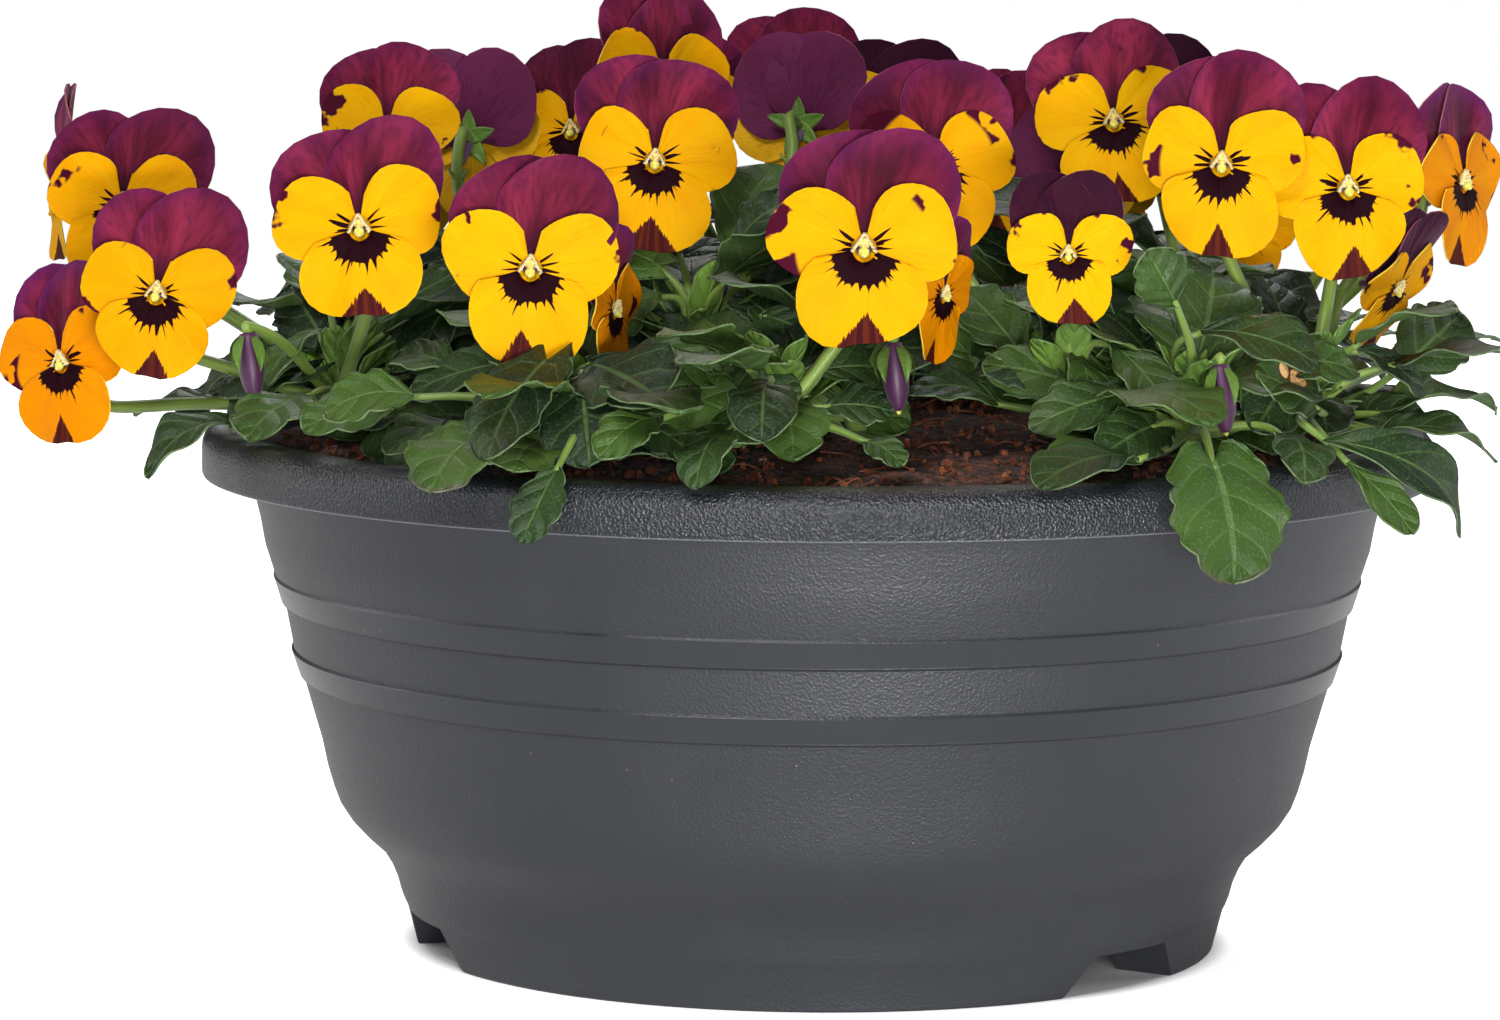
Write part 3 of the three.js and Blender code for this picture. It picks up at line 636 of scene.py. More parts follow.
@dataclass(frozen=True)
class MaroonPetalFinish:
    """Velvety maroon petal skin with streaks from rose to near black and a pale edge."""

    wine: tuple = srgb(80, 14, 34)
    rose: tuple = srgb(124, 33, 58)
    violet: tuple = srgb(88, 24, 80)
    shade: tuple = srgb(44, 8, 22)
    night: tuple = srgb(34, 6, 24)
    rim: tuple = srgb(146, 80, 84)

    def make(self, shared: SharedEffects) -> bpy.types.Material:
        """The material, with the shared effects."""
        surface = Surface(0.6, sheen=0.1, sheen_tint=(0.75, 0.3, 0.6), gloss=0.05)
        material, graph, shader = surface.start("maroon upper petal")
        across, along = graph.uv("blade")
        streaks = graph.group(
            shared.streaks, Across=across, Along=along, Seed=graph.attribute("seed"),
            Density=1.15,
        )
        broad, fine = streaks.outputs["Broad"], streaks.outputs["Fine"]
        colour = graph.mix(graph.step(broad, 0.36, 0.76), self.wine, self.rose)
        colour = graph.mix(graph.step(broad, 0.46, 0.22), colour, self.shade)
        colour = graph.mix(graph.ranged(graph.step(fine, 0.4, 0.75), 0.0, 0.5), colour, self.shade)
        violet = graph.times(graph.step(along, 0.4, 1.0), graph.plus(graph.attribute("tone"), 0.25))
        colour = graph.mix(graph.times(violet, 0.8), colour, self.violet)
        colour = graph.mix(graph.step(along, 0.3, 0.0), colour, self.shade)
        dark = graph.attribute("patch")
        colour = graph.mix(graph.times(dark, 0.9), colour, self.night)
        colour = graph.mix(graph.step(along, 0.985, 1.0), colour, self.rim)
        graph.feed(shader.inputs["Base Color"], colour)
        folds = graph.plus(graph.times(broad, 7.0), fine)
        graph.feed(shader.inputs["Normal"], graph.bump(folds, 0.55, 0.3))
        return material


@dataclass(frozen=True)
class PetalReverseFinish:
    """The duller back of a petal, with veins of a second colour."""

    name: str
    ground: tuple
    vein: tuple

    def make(self, shared: SharedEffects) -> bpy.types.Material:
        """The material, with the shared effects."""
        material, graph, shader = Surface(0.65, sheen=0.06, gloss=0.12).start(self.name)
        across, along = graph.uv("blade")
        streaks = graph.group(
            shared.streaks, Across=across, Along=along, Seed=graph.attribute("seed"),
            Density=1.3,
        )
        veins = graph.ranged(graph.step(streaks.outputs["Fine"], 0.5, 0.7), 0.0, 0.55)
        fade = graph.times(veins, graph.step(along, 1.0, 0.2))
        graph.feed(shader.inputs["Base Color"], graph.mix(fade, self.ground, self.vein))
        graph.feed(shader.inputs["Normal"], graph.bump(streaks.outputs["Fine"], 0.4, 0.3))
        return material


@dataclass(frozen=True)
class LeafFinish:
    """Leaf skin: dull green with pale veins and edges, fine dots and grey-brown patches that are
    partly painted sheen, and dry spots.
    """

    name: str
    old: tuple
    young: tuple
    vein: tuple
    edge: tuple
    # Colour of the fine pale dots: partly the leaf's hairs, partly painted sheen.
    bloom: tuple
    dots: float = 0.28
    spots: tuple[tuple[Triple, float], ...] = ()
    dry: tuple = srgb(212, 168, 112)
    dry_rim: tuple = srgb(70, 44, 22)
    # Grey-brown of the patches: partly a tinge of the leaf, partly painted sheen.
    dull: tuple = srgb(74, 70, 56)
    burn: tuple = srgb(78, 70, 62)
    vein_pairs: float = 5.5

    def make(self, shared: SharedEffects) -> bpy.types.Material:
        """The material, with the shared effects."""
        material, graph, shader = Surface(0.5, gloss=0.28).start(self.name)
        across, along = graph.uv("blade")
        aside = graph.math("ABSOLUTE", graph.minus(graph.times(across, 2.0), 1.0))
        speckle = graph.group(shared.speckle, Scale=1500.0)
        drift = graph.ranged(speckle.outputs["Patches"], -0.28, 0.28)
        tone = graph.plus(graph.attribute("tone"), drift, clamp=True)
        colour = graph.mix(tone, self.old, self.young)
        # Fine pale dots: partly the leaf's hairs, partly painted sheen.
        hair_dots_and_sheen = graph.times(speckle.outputs["Dots"], self.dots)
        colour = graph.mix(hair_dots_and_sheen, colour, self.bloom)
        rank = graph.times(graph.minus(along, graph.times(aside, 0.3)), self.vein_pairs)
        wave = graph.times(graph.math("PINGPONG", rank, 0.5), 2.0)
        ribs = graph.times(graph.step(wave, 0.16, 0.02), graph.step(aside, 0.95, 0.5))
        midrib = graph.times(graph.step(aside, 0.05, 0.015), graph.ranged(along, 1.0, 0.4))
        veins = graph.math("MAXIMUM", graph.times(ribs, 0.4), midrib)
        colour = graph.mix(graph.times(veins, 0.75), colour, self.vein)
        # Grey-brown patches: partly a tinge of the leaf, partly painted sheen.
        grey_brown_tinge_and_sheen = graph.step(speckle.outputs["Patches"], 0.56, 0.78)
        colour = graph.mix(graph.times(grey_brown_tinge_and_sheen, 0.35), colour, self.dull)
        tip = graph.plus(along, graph.times(speckle.outputs["Patches"], 0.3))
        dry = graph.step(graph.plus(graph.times(aside, 0.25), tip), 1.05, 1.22)
        burnt = graph.times(graph.attribute("patch"), dry)
        colour = graph.mix(burnt, colour, self.burn)
        edge = graph.math("MAXIMUM", graph.step(aside, 0.95, 1.0), graph.step(along, 0.985, 1.0))
        colour = graph.mix(graph.times(edge, 0.55), colour, self.edge)
        for centre, radius in self.spots:
            colour = self._spot(graph, colour, centre, radius)
        graph.feed(shader.inputs["Base Color"], colour)
        quilt = graph.math("POWER", wave, 0.5)
        height = graph.minus(quilt, graph.times(midrib, 0.6))
        height = graph.plus(height, graph.times(speckle.outputs["Dots"], 0.25))
        graph.feed(shader.inputs["Normal"], graph.bump(height, 0.7, 0.8))
        return material

    def _spot(self, graph: Graph, colour: Socket, centre: Triple, radius: float) -> Socket:
        """The colour with one dry spot, its dark rim and the dot in its middle.

        Args:
            graph: The material's nodes.
            colour: The colour of the leaf so far.
            centre: The middle of the spot, in mm.
            radius: Its radius, in mm.

        Returns:
            The new colour.
        """
        away = graph.add("ShaderNodeVectorMath", operation="DISTANCE")
        graph.feed(away.inputs[0], graph.object_place())
        away.inputs[1].default_value = tuple(part * MM for part in centre)
        rough = graph.ranged(graph.noise(graph.object_place(), 400.0), -0.6, 0.6)
        reach = graph.plus(graph.times(away.outputs["Value"], 1 / MM), rough)
        colour = graph.mix(graph.step(reach, radius + 0.5, radius + 0.2), colour, self.dry_rim)
        colour = graph.mix(graph.step(reach, radius, radius - 0.3), colour, self.dry)
        return graph.mix(graph.step(reach, 0.5, 0.3), colour, self.dry_rim)


@dataclass(frozen=True)
class StemFinish:
    """Smooth green stem skin with fine lines along it and soft changes of colour."""

    name: str
    ground: tuple
    shade: tuple
    gloss: float = 0.4

    def make(self, shared: SharedEffects) -> bpy.types.Material:
        """The material, with the shared effects."""
        material, graph, shader = Surface(0.45, gloss=self.gloss, sheen=0.1).start(self.name)
        across, along = graph.uv("blade")
        lines = graph.noise(graph.vector(graph.times(across, 14.0), along), 1.0)
        speckle = graph.group(shared.speckle, Scale=900.0)
        patches = graph.times(speckle.outputs["Patches"], 0.5)
        part = graph.plus(graph.times(lines, 0.6), patches, clamp=True)
        colour = graph.mix(graph.step(part, 0.35, 0.75), self.ground, self.shade)
        colour = graph.mix(graph.attribute("tone"), colour, self.ground)
        graph.feed(shader.inputs["Base Color"], colour)
        graph.feed(shader.inputs["Normal"], graph.bump(lines, 0.3, 0.3))
        return material


@dataclass(frozen=True)
class PlasticFinish:
    """Anthracite moulded plastic: a leathery grain, two smooth bands, faint scuffs, and a painted
    highlight on the rim's lower edge.
    """

    body: tuple = srgb(38, 40, 45)
    rim: tuple = srgb(23, 26, 32)
    # Pale grey for the faint scuffs, and for the painted highlight on the rim's lower edge.
    scuff_and_highlight: tuple = srgb(128, 130, 136)
    dust: tuple = srgb(122, 112, 98)
    rim_low: float = 103.6
    bands: tuple[tuple[float, float], ...] = ((76.3, 81.8), (60.2, 65.6))
    grain: float = 1550.0

    def make(self, shared: SharedEffects) -> bpy.types.Material:
        """The material, with the shared effects."""
        material, graph, shader = Surface(0.45, gloss=0.5).start("anthracite plastic")
        place = graph.object_place()
        split = graph.add("ShaderNodeSeparateXYZ")
        graph.feed(split.inputs[0], place)
        height = graph.times(split.outputs[2], 1 / MM)
        on_rim = graph.step(height, self.rim_low, self.rim_low + 0.4)
        smooth: Socket = None
        for low, high in self.bands:
            inside = graph.times(graph.step(height, low - 0.2, low + 0.2),
                                 graph.step(height, high + 0.2, high - 0.2))
            smooth = inside if smooth is None else graph.math("MAXIMUM", smooth, inside)
        speckle = graph.group(shared.speckle, Scale=2300.0)
        colour = graph.mix(on_rim, self.body, self.rim)
        worn = graph.times(graph.step(speckle.outputs["Patches"], 0.5, 0.9), 0.03)
        colour = graph.mix(worn, colour, self.scuff_and_highlight)
        # Painted highlight: a pale line along the rounded lower edge of the rim.
        painted_rim_highlight = graph.times(graph.step(height, 103.75, 103.95), graph.step(height, 104.5, 104.25))
        colour = graph.mix(graph.times(painted_rim_highlight, 0.7), colour, self.scuff_and_highlight)
        motes = graph.step(graph.cells(place, 260.0), 0.07, 0.045)
        rare = graph.step(graph.noise(place, 90.0, 0.0), 0.66, 0.7)
        colour = graph.mix(graph.times(graph.times(motes, rare), 0.8), colour, self.dust)
        graph.feed(shader.inputs["Base Color"], colour)
        fine = graph.times(graph.noise(place, self.grain * 1.7), 0.8)
        grain = graph.plus(graph.cells(place, self.grain), fine)
        rough = graph.minus(graph.ranged(speckle.outputs["Dots"], 0.42, 0.52),
                            graph.times(smooth, 0.14))
        graph.feed(shader.inputs["Roughness"], graph.minus(rough, graph.times(on_rim, 0.1)))
        even = graph.times(grain, graph.minus(1.0, graph.times(smooth, 0.85)))
        deep = graph.times(even, graph.ranged(on_rim, 0.5, 1.7))
        graph.feed(shader.inputs["Normal"], graph.bump(deep, 0.55, 0.32))
        return material


@dataclass(frozen=True)
class EarthFinish:
    """Coir and peat: dark crumbs with reddish fibres."""

    name: str
    dark: tuple
    middle: tuple
    light: tuple

    def make(self, shared: SharedEffects) -> bpy.types.Material:
        """The material, with the shared effects."""
        material, graph, shader = Surface(0.95, gloss=0.2, sheen=0.1).start(self.name)
        place = graph.object_place()
        speckle = graph.group(shared.speckle, Scale=700.0)
        crumbs = graph.cells(place, 420.0)
        colour = graph.mix(graph.step(crumbs, 0.1, 0.7), self.middle, self.dark)
        colour = graph.mix(graph.times(speckle.outputs["Dots"], 0.6), colour, self.light)
        colour = graph.mix(graph.step(speckle.outputs["Patches"], 0.45, 0.7), colour, self.dark)
        graph.feed(shader.inputs["Base Color"], colour)
        height = graph.plus(crumbs, speckle.outputs["Dots"])
        graph.feed(shader.inputs["Normal"], graph.bump(height, 0.8, 1.2))
        return material


@dataclass(frozen=True)
class SoftFinish:
    """A small soft piece of one colour with a second one in patches."""

    name: str
    ground: tuple
    patches: tuple
    roughness: float = 0.6

    def make(self, shared: SharedEffects) -> bpy.types.Material:
        """The material, with the shared effects."""
        material, graph, shader = Surface(self.roughness, sheen=0.2).start(self.name)
        speckle = graph.group(shared.speckle, Scale=1800.0)
        colour = graph.mix(speckle.outputs["Dots"], self.ground, self.patches)
        graph.feed(shader.inputs["Base Color"], colour)
        graph.feed(shader.inputs["Normal"], graph.bump(speckle.outputs["Dots"], 0.3, 0.2))
        return material


# --------------------------------------------------------- bowl and soil


@dataclass(frozen=True)
class Bowl:
    """The round bowl: a turned wall with a rim, two bands, a foot and three notches."""

    rim_radius: float = 135.0
    rim_top: float = 114.5
    rim_low: float = 104.0
    foot_radius: float = 88.0
    ring_width: float = 14.0
    floor_low: float = 9.2
    segments: int = 192
    notch_azimuths: tuple[float, ...] = (48.7, -71.3, 168.7)
    notch_width: float = 15.0
    notch_height: float = 8.6
    notch_spread: float = 7.1
    body: tuple[tuple[float, float], ...] = (
        (90.5, 9.6), (90.9, 10.4), (91.6, 12.2), (92.4, 15.2), (93.8, 18.6), (95.9, 22.0),
        (99.7, 25.4), (102.9, 28.8), (105.1, 32.2), (106.4, 35.6), (107.7, 40.0),
        (108.9, 45.7), (110.9, 52.6), (112.9, 59.6),
    )
    upper: tuple[tuple[float, float], ...] = (
        (116.9, 75.7), (117.8, 76.3), (119.5, 81.8), (119.2, 82.4), (121.3, 89.0),
        (122.15, 93.8), (122.25, 94.4), (123.6, 100.0), (124.2, 103.2), (124.6, 104.0),
    )

    def profile(self) -> list[tuple[float, float]]:
        """The closed section from the middle of the underside round to the floor inside."""
        foot = self.foot_radius
        rim, top, low = self.rim_radius, self.rim_top, self.rim_low
        inner = foot - self.ring_width
        pad = [(0.0, 0.0), (30.0, 0.0), (31.0, self.floor_low)]
        underside = [*pad, (inner - 0.6, self.floor_low), (inner, 0.3), (inner + 0.4, 0.0)]
        skirt = [(foot - 0.4, 0.0), (foot, 0.4), (90.3, 9.3)]
        bands = [(113.8, 60.2), (115.6, 65.6), (115.1, 66.2), (116.0, 71.0)]
        lip = [(rim - 0.9, low), (rim - 0.25, low + 0.25), (rim, low + 0.9), (rim, top - 4.2)]
        bead = [
            (rim - 4.0 + 4.0 * math.cos(turn), top - 4.0 + 4.0 * math.sin(turn))
            for turn in (math.radians(15 * i) for i in range(1, 7))
        ]
        inside = [(125.6, top), (124.4, top - 0.6), (123.4, top - 2.0), (121.0, 100.0),
                  (114.7, 81.8), (105.5, 45.7), (88.0, 20.0), (78.0, 12.5), (0.0, 12.5)]
        return [*underside, *skirt, *self.body, *bands, *self.upper, *lip, *bead, *inside]

    def build(self, plastic: bpy.types.Material) -> bpy.types.Object:
        """The finished bowl in place of its plain solid."""
        making = Modelling()
        mesh = making.mesh
        verts = [mesh.verts.new((r, 0, z)) for r, z in self.profile()]
        edges = [mesh.edges.new(pair) for pair in zip(verts, verts[1:])]
        bmesh.ops.spin(
            mesh, geom=[*verts, *edges], cent=(0, 0, 0), axis=(0, 0, 1),
            angle=math.tau, steps=self.segments, use_merge=True, use_duplicate=False,
        )
        bmesh.ops.remove_doubles(mesh, verts=mesh.verts, dist=1e-3)
        bmesh.ops.recalc_face_normals(mesh, faces=mesh.faces)
        for azimuth in self.notch_azimuths:
            self._cut_notch(mesh, azimuth)
        for face in mesh.faces:
            face.smooth = True
        piece = making.finish("bowl", [plastic])
        for edge in piece.data.edges:
            edge.use_edge_sharp = False
        piece.data.set_sharp_from_angle(angle=math.radians(28))
        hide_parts("pot")
        return piece

    def _cut_notch(self, mesh: bmesh.types.BMesh, azimuth: float) -> None:
        """Cuts one notch right through the foot ring; its sides spread to the ground.

        Args:
            mesh: The turned bowl.
            azimuth: The azimuth of the middle of the notch.
        """
        ceiling = Vector((0, 0, self.notch_height))
        planes = [(ceiling, Vector((0, 0, 1)))]
        for side in (-1, 1):
            turn = math.radians(azimuth + side * self.notch_width / 2)
            normal = Vector((math.cos(turn), math.sin(turn), 0)) * side * self.notch_height
            planes.append((ceiling, normal + Vector((0, 0, self.notch_spread))))
        for point, normal in planes:
            near = [face for face in mesh.faces if self._by_notch(face, azimuth)]
            parts = {part for face in near for part in (*face.verts, *face.edges, face)}
            bmesh.ops.bisect_plane(
                mesh, geom=list(parts), plane_co=point, plane_no=normal.normalized())
        inside = [
            face for face in mesh.faces
            if self._by_notch(face, azimuth)
            and all(normal.dot(face.calc_center_median() - point) < 0 for point, normal in planes)
        ]
        bmesh.ops.delete(mesh, geom=inside, context="FACES")
        loose = [edge for edge in mesh.edges if edge.is_boundary]
        for point, normal in planes:
            flat = normal.normalized()
            chain = [
                edge for edge in loose
                if all(abs(flat.dot(vert.co - point)) < 2e-3 for vert in edge.verts)
            ]
            self._close_side(mesh, chain)

    @staticmethod
    def _close_side(mesh: bmesh.types.BMesh, chain: Sequence[bmesh.types.BMEdge]) -> None:
        """Closes one flat side of a notch, of which some straight edges may be missing.

        Args:
            mesh: The bowl.
            chain: The open edges that lie on that side.
        """
        ends: dict[bmesh.types.BMVert, int] = {}
        for edge in chain:
            for vert in edge.verts:
                ends[vert] = ends.get(vert, 0) + 1
        open_ends = [vert for vert, count in ends.items() if count == 1]
        extra = []
        while open_ends:
            vert = open_ends.pop()
            turn = math.atan2(vert.co.y, vert.co.x)
            other = min(open_ends, key=lambda spot: abs(math.atan2(spot.co.y, spot.co.x) - turn))
            open_ends.remove(other)
            shared = mesh.edges.get((vert, other)) or mesh.edges.new((vert, other))
            extra.append(shared)
        bmesh.ops.contextual_create(mesh, geom=[*chain, *extra])

    def _by_notch(self, face: bmesh.types.BMFace, azimuth: float) -> bool:
        """True for a face of the foot ring near a notch."""
        middle = face.calc_center_median()
        off = (azimuth_of(middle.x, middle.y) - azimuth + 540) % 360 - 180
        inner = self.foot_radius - self.ring_width
        on_ring = math.hypot(middle.x, middle.y) > inner - 1.5
        return abs(off) < 20 and on_ring and middle.z < self.floor_low - 0.05


@dataclass(frozen=True)
class Soil:
    """The soil: its lumpy top with crumbs and fibres of coir."""

    edge_height: float = 110.0
    mound: float = 9.0
    reach: float = 121.6
    crumbs: int = 1300
    fibres: int = 420
    seed: int = 11

    def height(self, x: float, y: float) -> float:
        """Height of the soil at (x, y): a low mound with lumps."""
        part = math.hypot(x, y) / 122
        lumps = 0.9 * math.sin(0.13 * x + 0.9) * math.cos(0.11 * y)
        lumps += 0.6 * math.sin(0.21 * (x + y))
        return self.edge_height + self.mound * (1 - part**2) + lumps * (1 - part**4)

    def build(self, earth: bpy.types.Material, coir: bpy.types.Material) -> None:
        """The soil's body, and the loose bits on it.

        Args:
            earth: The finish of the soil.
            coir: The finish of the loose bits.
        """
        making = Modelling()

        def place(u: float, v: float) -> Vector:
            """The place of a point of the top, which is closed under the surface."""
            reach = self.reach * min(1.0, v * 1.06)
            x, y = reach * math.cos(math.pi * u), reach * math.sin(math.pi * u)
            spot = Vector((x * 0.12, y * 0.12, 0.0))
            rough = 1.3 * noise.noise(spot) + 0.7 * noise.noise(spot * 3.1)
            z = self.height(x, y) + rough
            return Vector((x, y, z if v <= 0.97 else z - 6.0))

        making.sheet(120, 64, place, weld=True)
        bmesh.ops.holes_fill(making.mesh, edges=making.mesh.edges, sides=0)
        bmesh.ops.recalc_face_normals(making.mesh, faces=making.mesh.faces)
        soil = making.finish("soil_top", [earth])
        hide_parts("soil")
        self._scatter(coir)

    def _scatter(self, coir: bpy.types.Material) -> None:
        """Crumbs and fibres of coir on the soil."""
        draw = random.Random(self.seed)
        making = Modelling()
        for _ in range(self.crumbs):
            spot = self._spot(draw)
            size = draw.uniform(0.5, 1.7)
            turn = Euler([draw.uniform(0, math.tau) for _ in range(3)])
            shape = Matrix.Diagonal((size, size * draw.uniform(0.5, 1.0), size * 0.6, 1.0))
            bmesh.ops.create_icosphere(
                making.mesh, subdivisions=1, radius=1.0,
                matrix=Matrix.Translation(spot) @ turn.to_matrix().to_4x4() @ shape,
            )
        for _ in range(self.fibres):
            start = self._spot(draw)
            turn = draw.uniform(0, math.tau)
            length = draw.uniform(3.0, 11.0)
            ahead = Vector((math.cos(turn), math.sin(turn), draw.uniform(-0.1, 0.35))) * length
            bend = Vector((draw.uniform(-1, 1), draw.uniform(-1, 1), draw.uniform(0, 1))) * 1.5
            thick = draw.uniform(0.12, 0.3)
            route = smooth_route([start, start + ahead * 0.5 + bend, start + ahead], 3)
            making.tube(route, lambda part, thick=thick: thick, sides=4)
        bits = making.finish("soil_coir", [coir])
        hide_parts("soil")

    def _spot(self, draw: random.Random) -> Vector:
        """A place at random on the top of the soil."""
        reach = (self.reach - 2.0) * math.sqrt(draw.uniform(0.02, 1.0))
        turn = draw.uniform(0, math.tau)
        x, y = reach * math.cos(turn), reach * math.sin(turn)
        return Vector((x, y, self.height(x, y) + 0.5))


# ---------------------------------------------------------------- blooms


@dataclass(frozen=True)
class BloomPlace:
    """Where a bloom is: its throat, how it is turned, and its size."""

    throat: Triple
    yaw: float
    pitch: float
    roll: float
    size: float

    def matrix(self) -> Matrix:
        """The bloom's own frame: x to its right, y back through it, z up."""
        turn = Matrix.Rotation(math.radians(self.yaw), 4, "Z")
        turn = turn @ Matrix.Rotation(math.radians(-self.pitch), 4, "X")
        turn = turn @ Matrix.Rotation(math.radians(self.roll), 4, "Y")
        return Matrix.Translation(self.throat) @ turn @ Matrix.Scale(self.size, 4)


# The blooms that show best, each with a node for each of its colours.
NEAR_BLOOMS = tuple(BloomPlace(*row) for row in (
    ((-151, -18, 163), -12, 6, 4, 0.95),
    ((-141, -45, 146), -8, 8, 6, 0.95),
    ((-163, -32, 130), -30, 4, -10, 0.9),
    ((-93, -30, 180), -8, 10, 0, 0.82),
    ((-95, -85, 163), -6, 8, -6, 1),
    ((-59, -100, 156), 2, 6, 3, 1),
    ((-42, -80, 146), 72, -4, 8, 0.78),
    ((-35, -48, 175), 6, 8, 4, 0.95),
    ((-34, -8, 190), 28, 10, 8, 0.9),
    ((9, -105, 161), 0, 8, 2, 1.06),
    ((24, -58, 175), 4, 8, -4, 0.98),
    ((26, -84, 150), 60, -6, 6, 0.72),
    ((51, -92, 159), -4, 4, 0, 0.72),
    ((63, -24, 183), -6, 14, -6, 0.92),
    ((84, -62, 176), 3, 6, 3, 0.98),
    ((111, -58, 171), 8, 6, -2, 0.96),
    ((141, -2, 169), 56, 4, 6, 0.92),
    ((124, -34, 148), 62, -30, 0, 0.8),
))

# The blooms behind them and round the back, each in one node.
FAR_BLOOMS = tuple(BloomPlace(*row) for row in (
    ((-168, 4, 166), -75, 0, -8, 0.88),
    ((-76, 6, 176), 165, 0, 0, 0.86),
    ((-56, 34, 177), -20, 8, -6, 0.85),
    ((-30, 46, 180), 8, 10, 6, 0.82),
    ((-3, -4, 179), 158, -8, 10, 0.9),
    ((-4, 58, 184), 12, 12, -4, 0.86),
    ((17, 34, 179), 8, 6, 8, 0.85),
    ((41, 16, 172), 6, 6, 4, 0.84),
    ((56, 2, 166), 170, 0, -4, 0.82),
    ((92, 8, 158), 10, 0, 0, 0.8),
    ((126, 24, 168), 130, 0, 0, 0.88),
    ((77, 58, 179), 6, 14, -6, 0.84),
    ((96, 44, 174), 48, 10, 6, 0.84),
    ((-92, 74, 166), -132, 8, 4, 0.95),
    ((-64, 94, 162), -150, 6, -4, 0.9),
    ((64, 96, 162), 155, 8, 0, 0.95),
    ((18, 114, 160), 178, 4, 6, 0.9),
))


@dataclass(frozen=True)
class Petal:
    """The shape of a petal, which opens like a fan from its claw."""

    part: PetalPart
    turn: float
    span: float
    reach: float
    fullness: float
    depth: float
    cup: float
    ruffle: float
    dent: float = 0.0
    open_edge: float = 1.1
    claw: float = 1.5

    def edge(self, angle: float, wobble: float) -> float:
        """Distance of the petal's edge from its claw at an angle off its middle line."""
        full = math.cos(math.radians(min(89.0, abs(angle) * 90 / (self.span * self.open_edge))))
        dent = 1 - self.dent * math.exp(-((angle / 9) ** 2))
        return self.reach * full**self.fullness * dent * (1 + wobble)


PETALS = (
    Petal(PetalPart.LIP, 180, 74, 20.4, 0.36, -0.3, 0.9, 1.3, dent=0.05),
    Petal(PetalPart.SIDE, 74, 60, 18.4, 0.46, 0.5, 0.8, 1.4),
    Petal(PetalPart.SIDE, -74, 60, 18.4, 0.46, 0.7, 0.8, 1.4),
    Petal(PetalPart.UPPER, 24, 72, 25.0, 0.6, 2.5, 0.5, 2.0),
    Petal(PetalPart.UPPER, -27, 72, 24.4, 0.6, 3.6, 0.5, 2.0),
)


# The numbers of the blooms with nearly black upper petals, of those with deep orange
# lower petals, and of the first far bloom.
DARK_BLOOMS = (12, 17, 44, 46, 51, 54)
ORANGE_BLOOMS = (2, 6, 11, 16)
FAR_NUMBER = 40


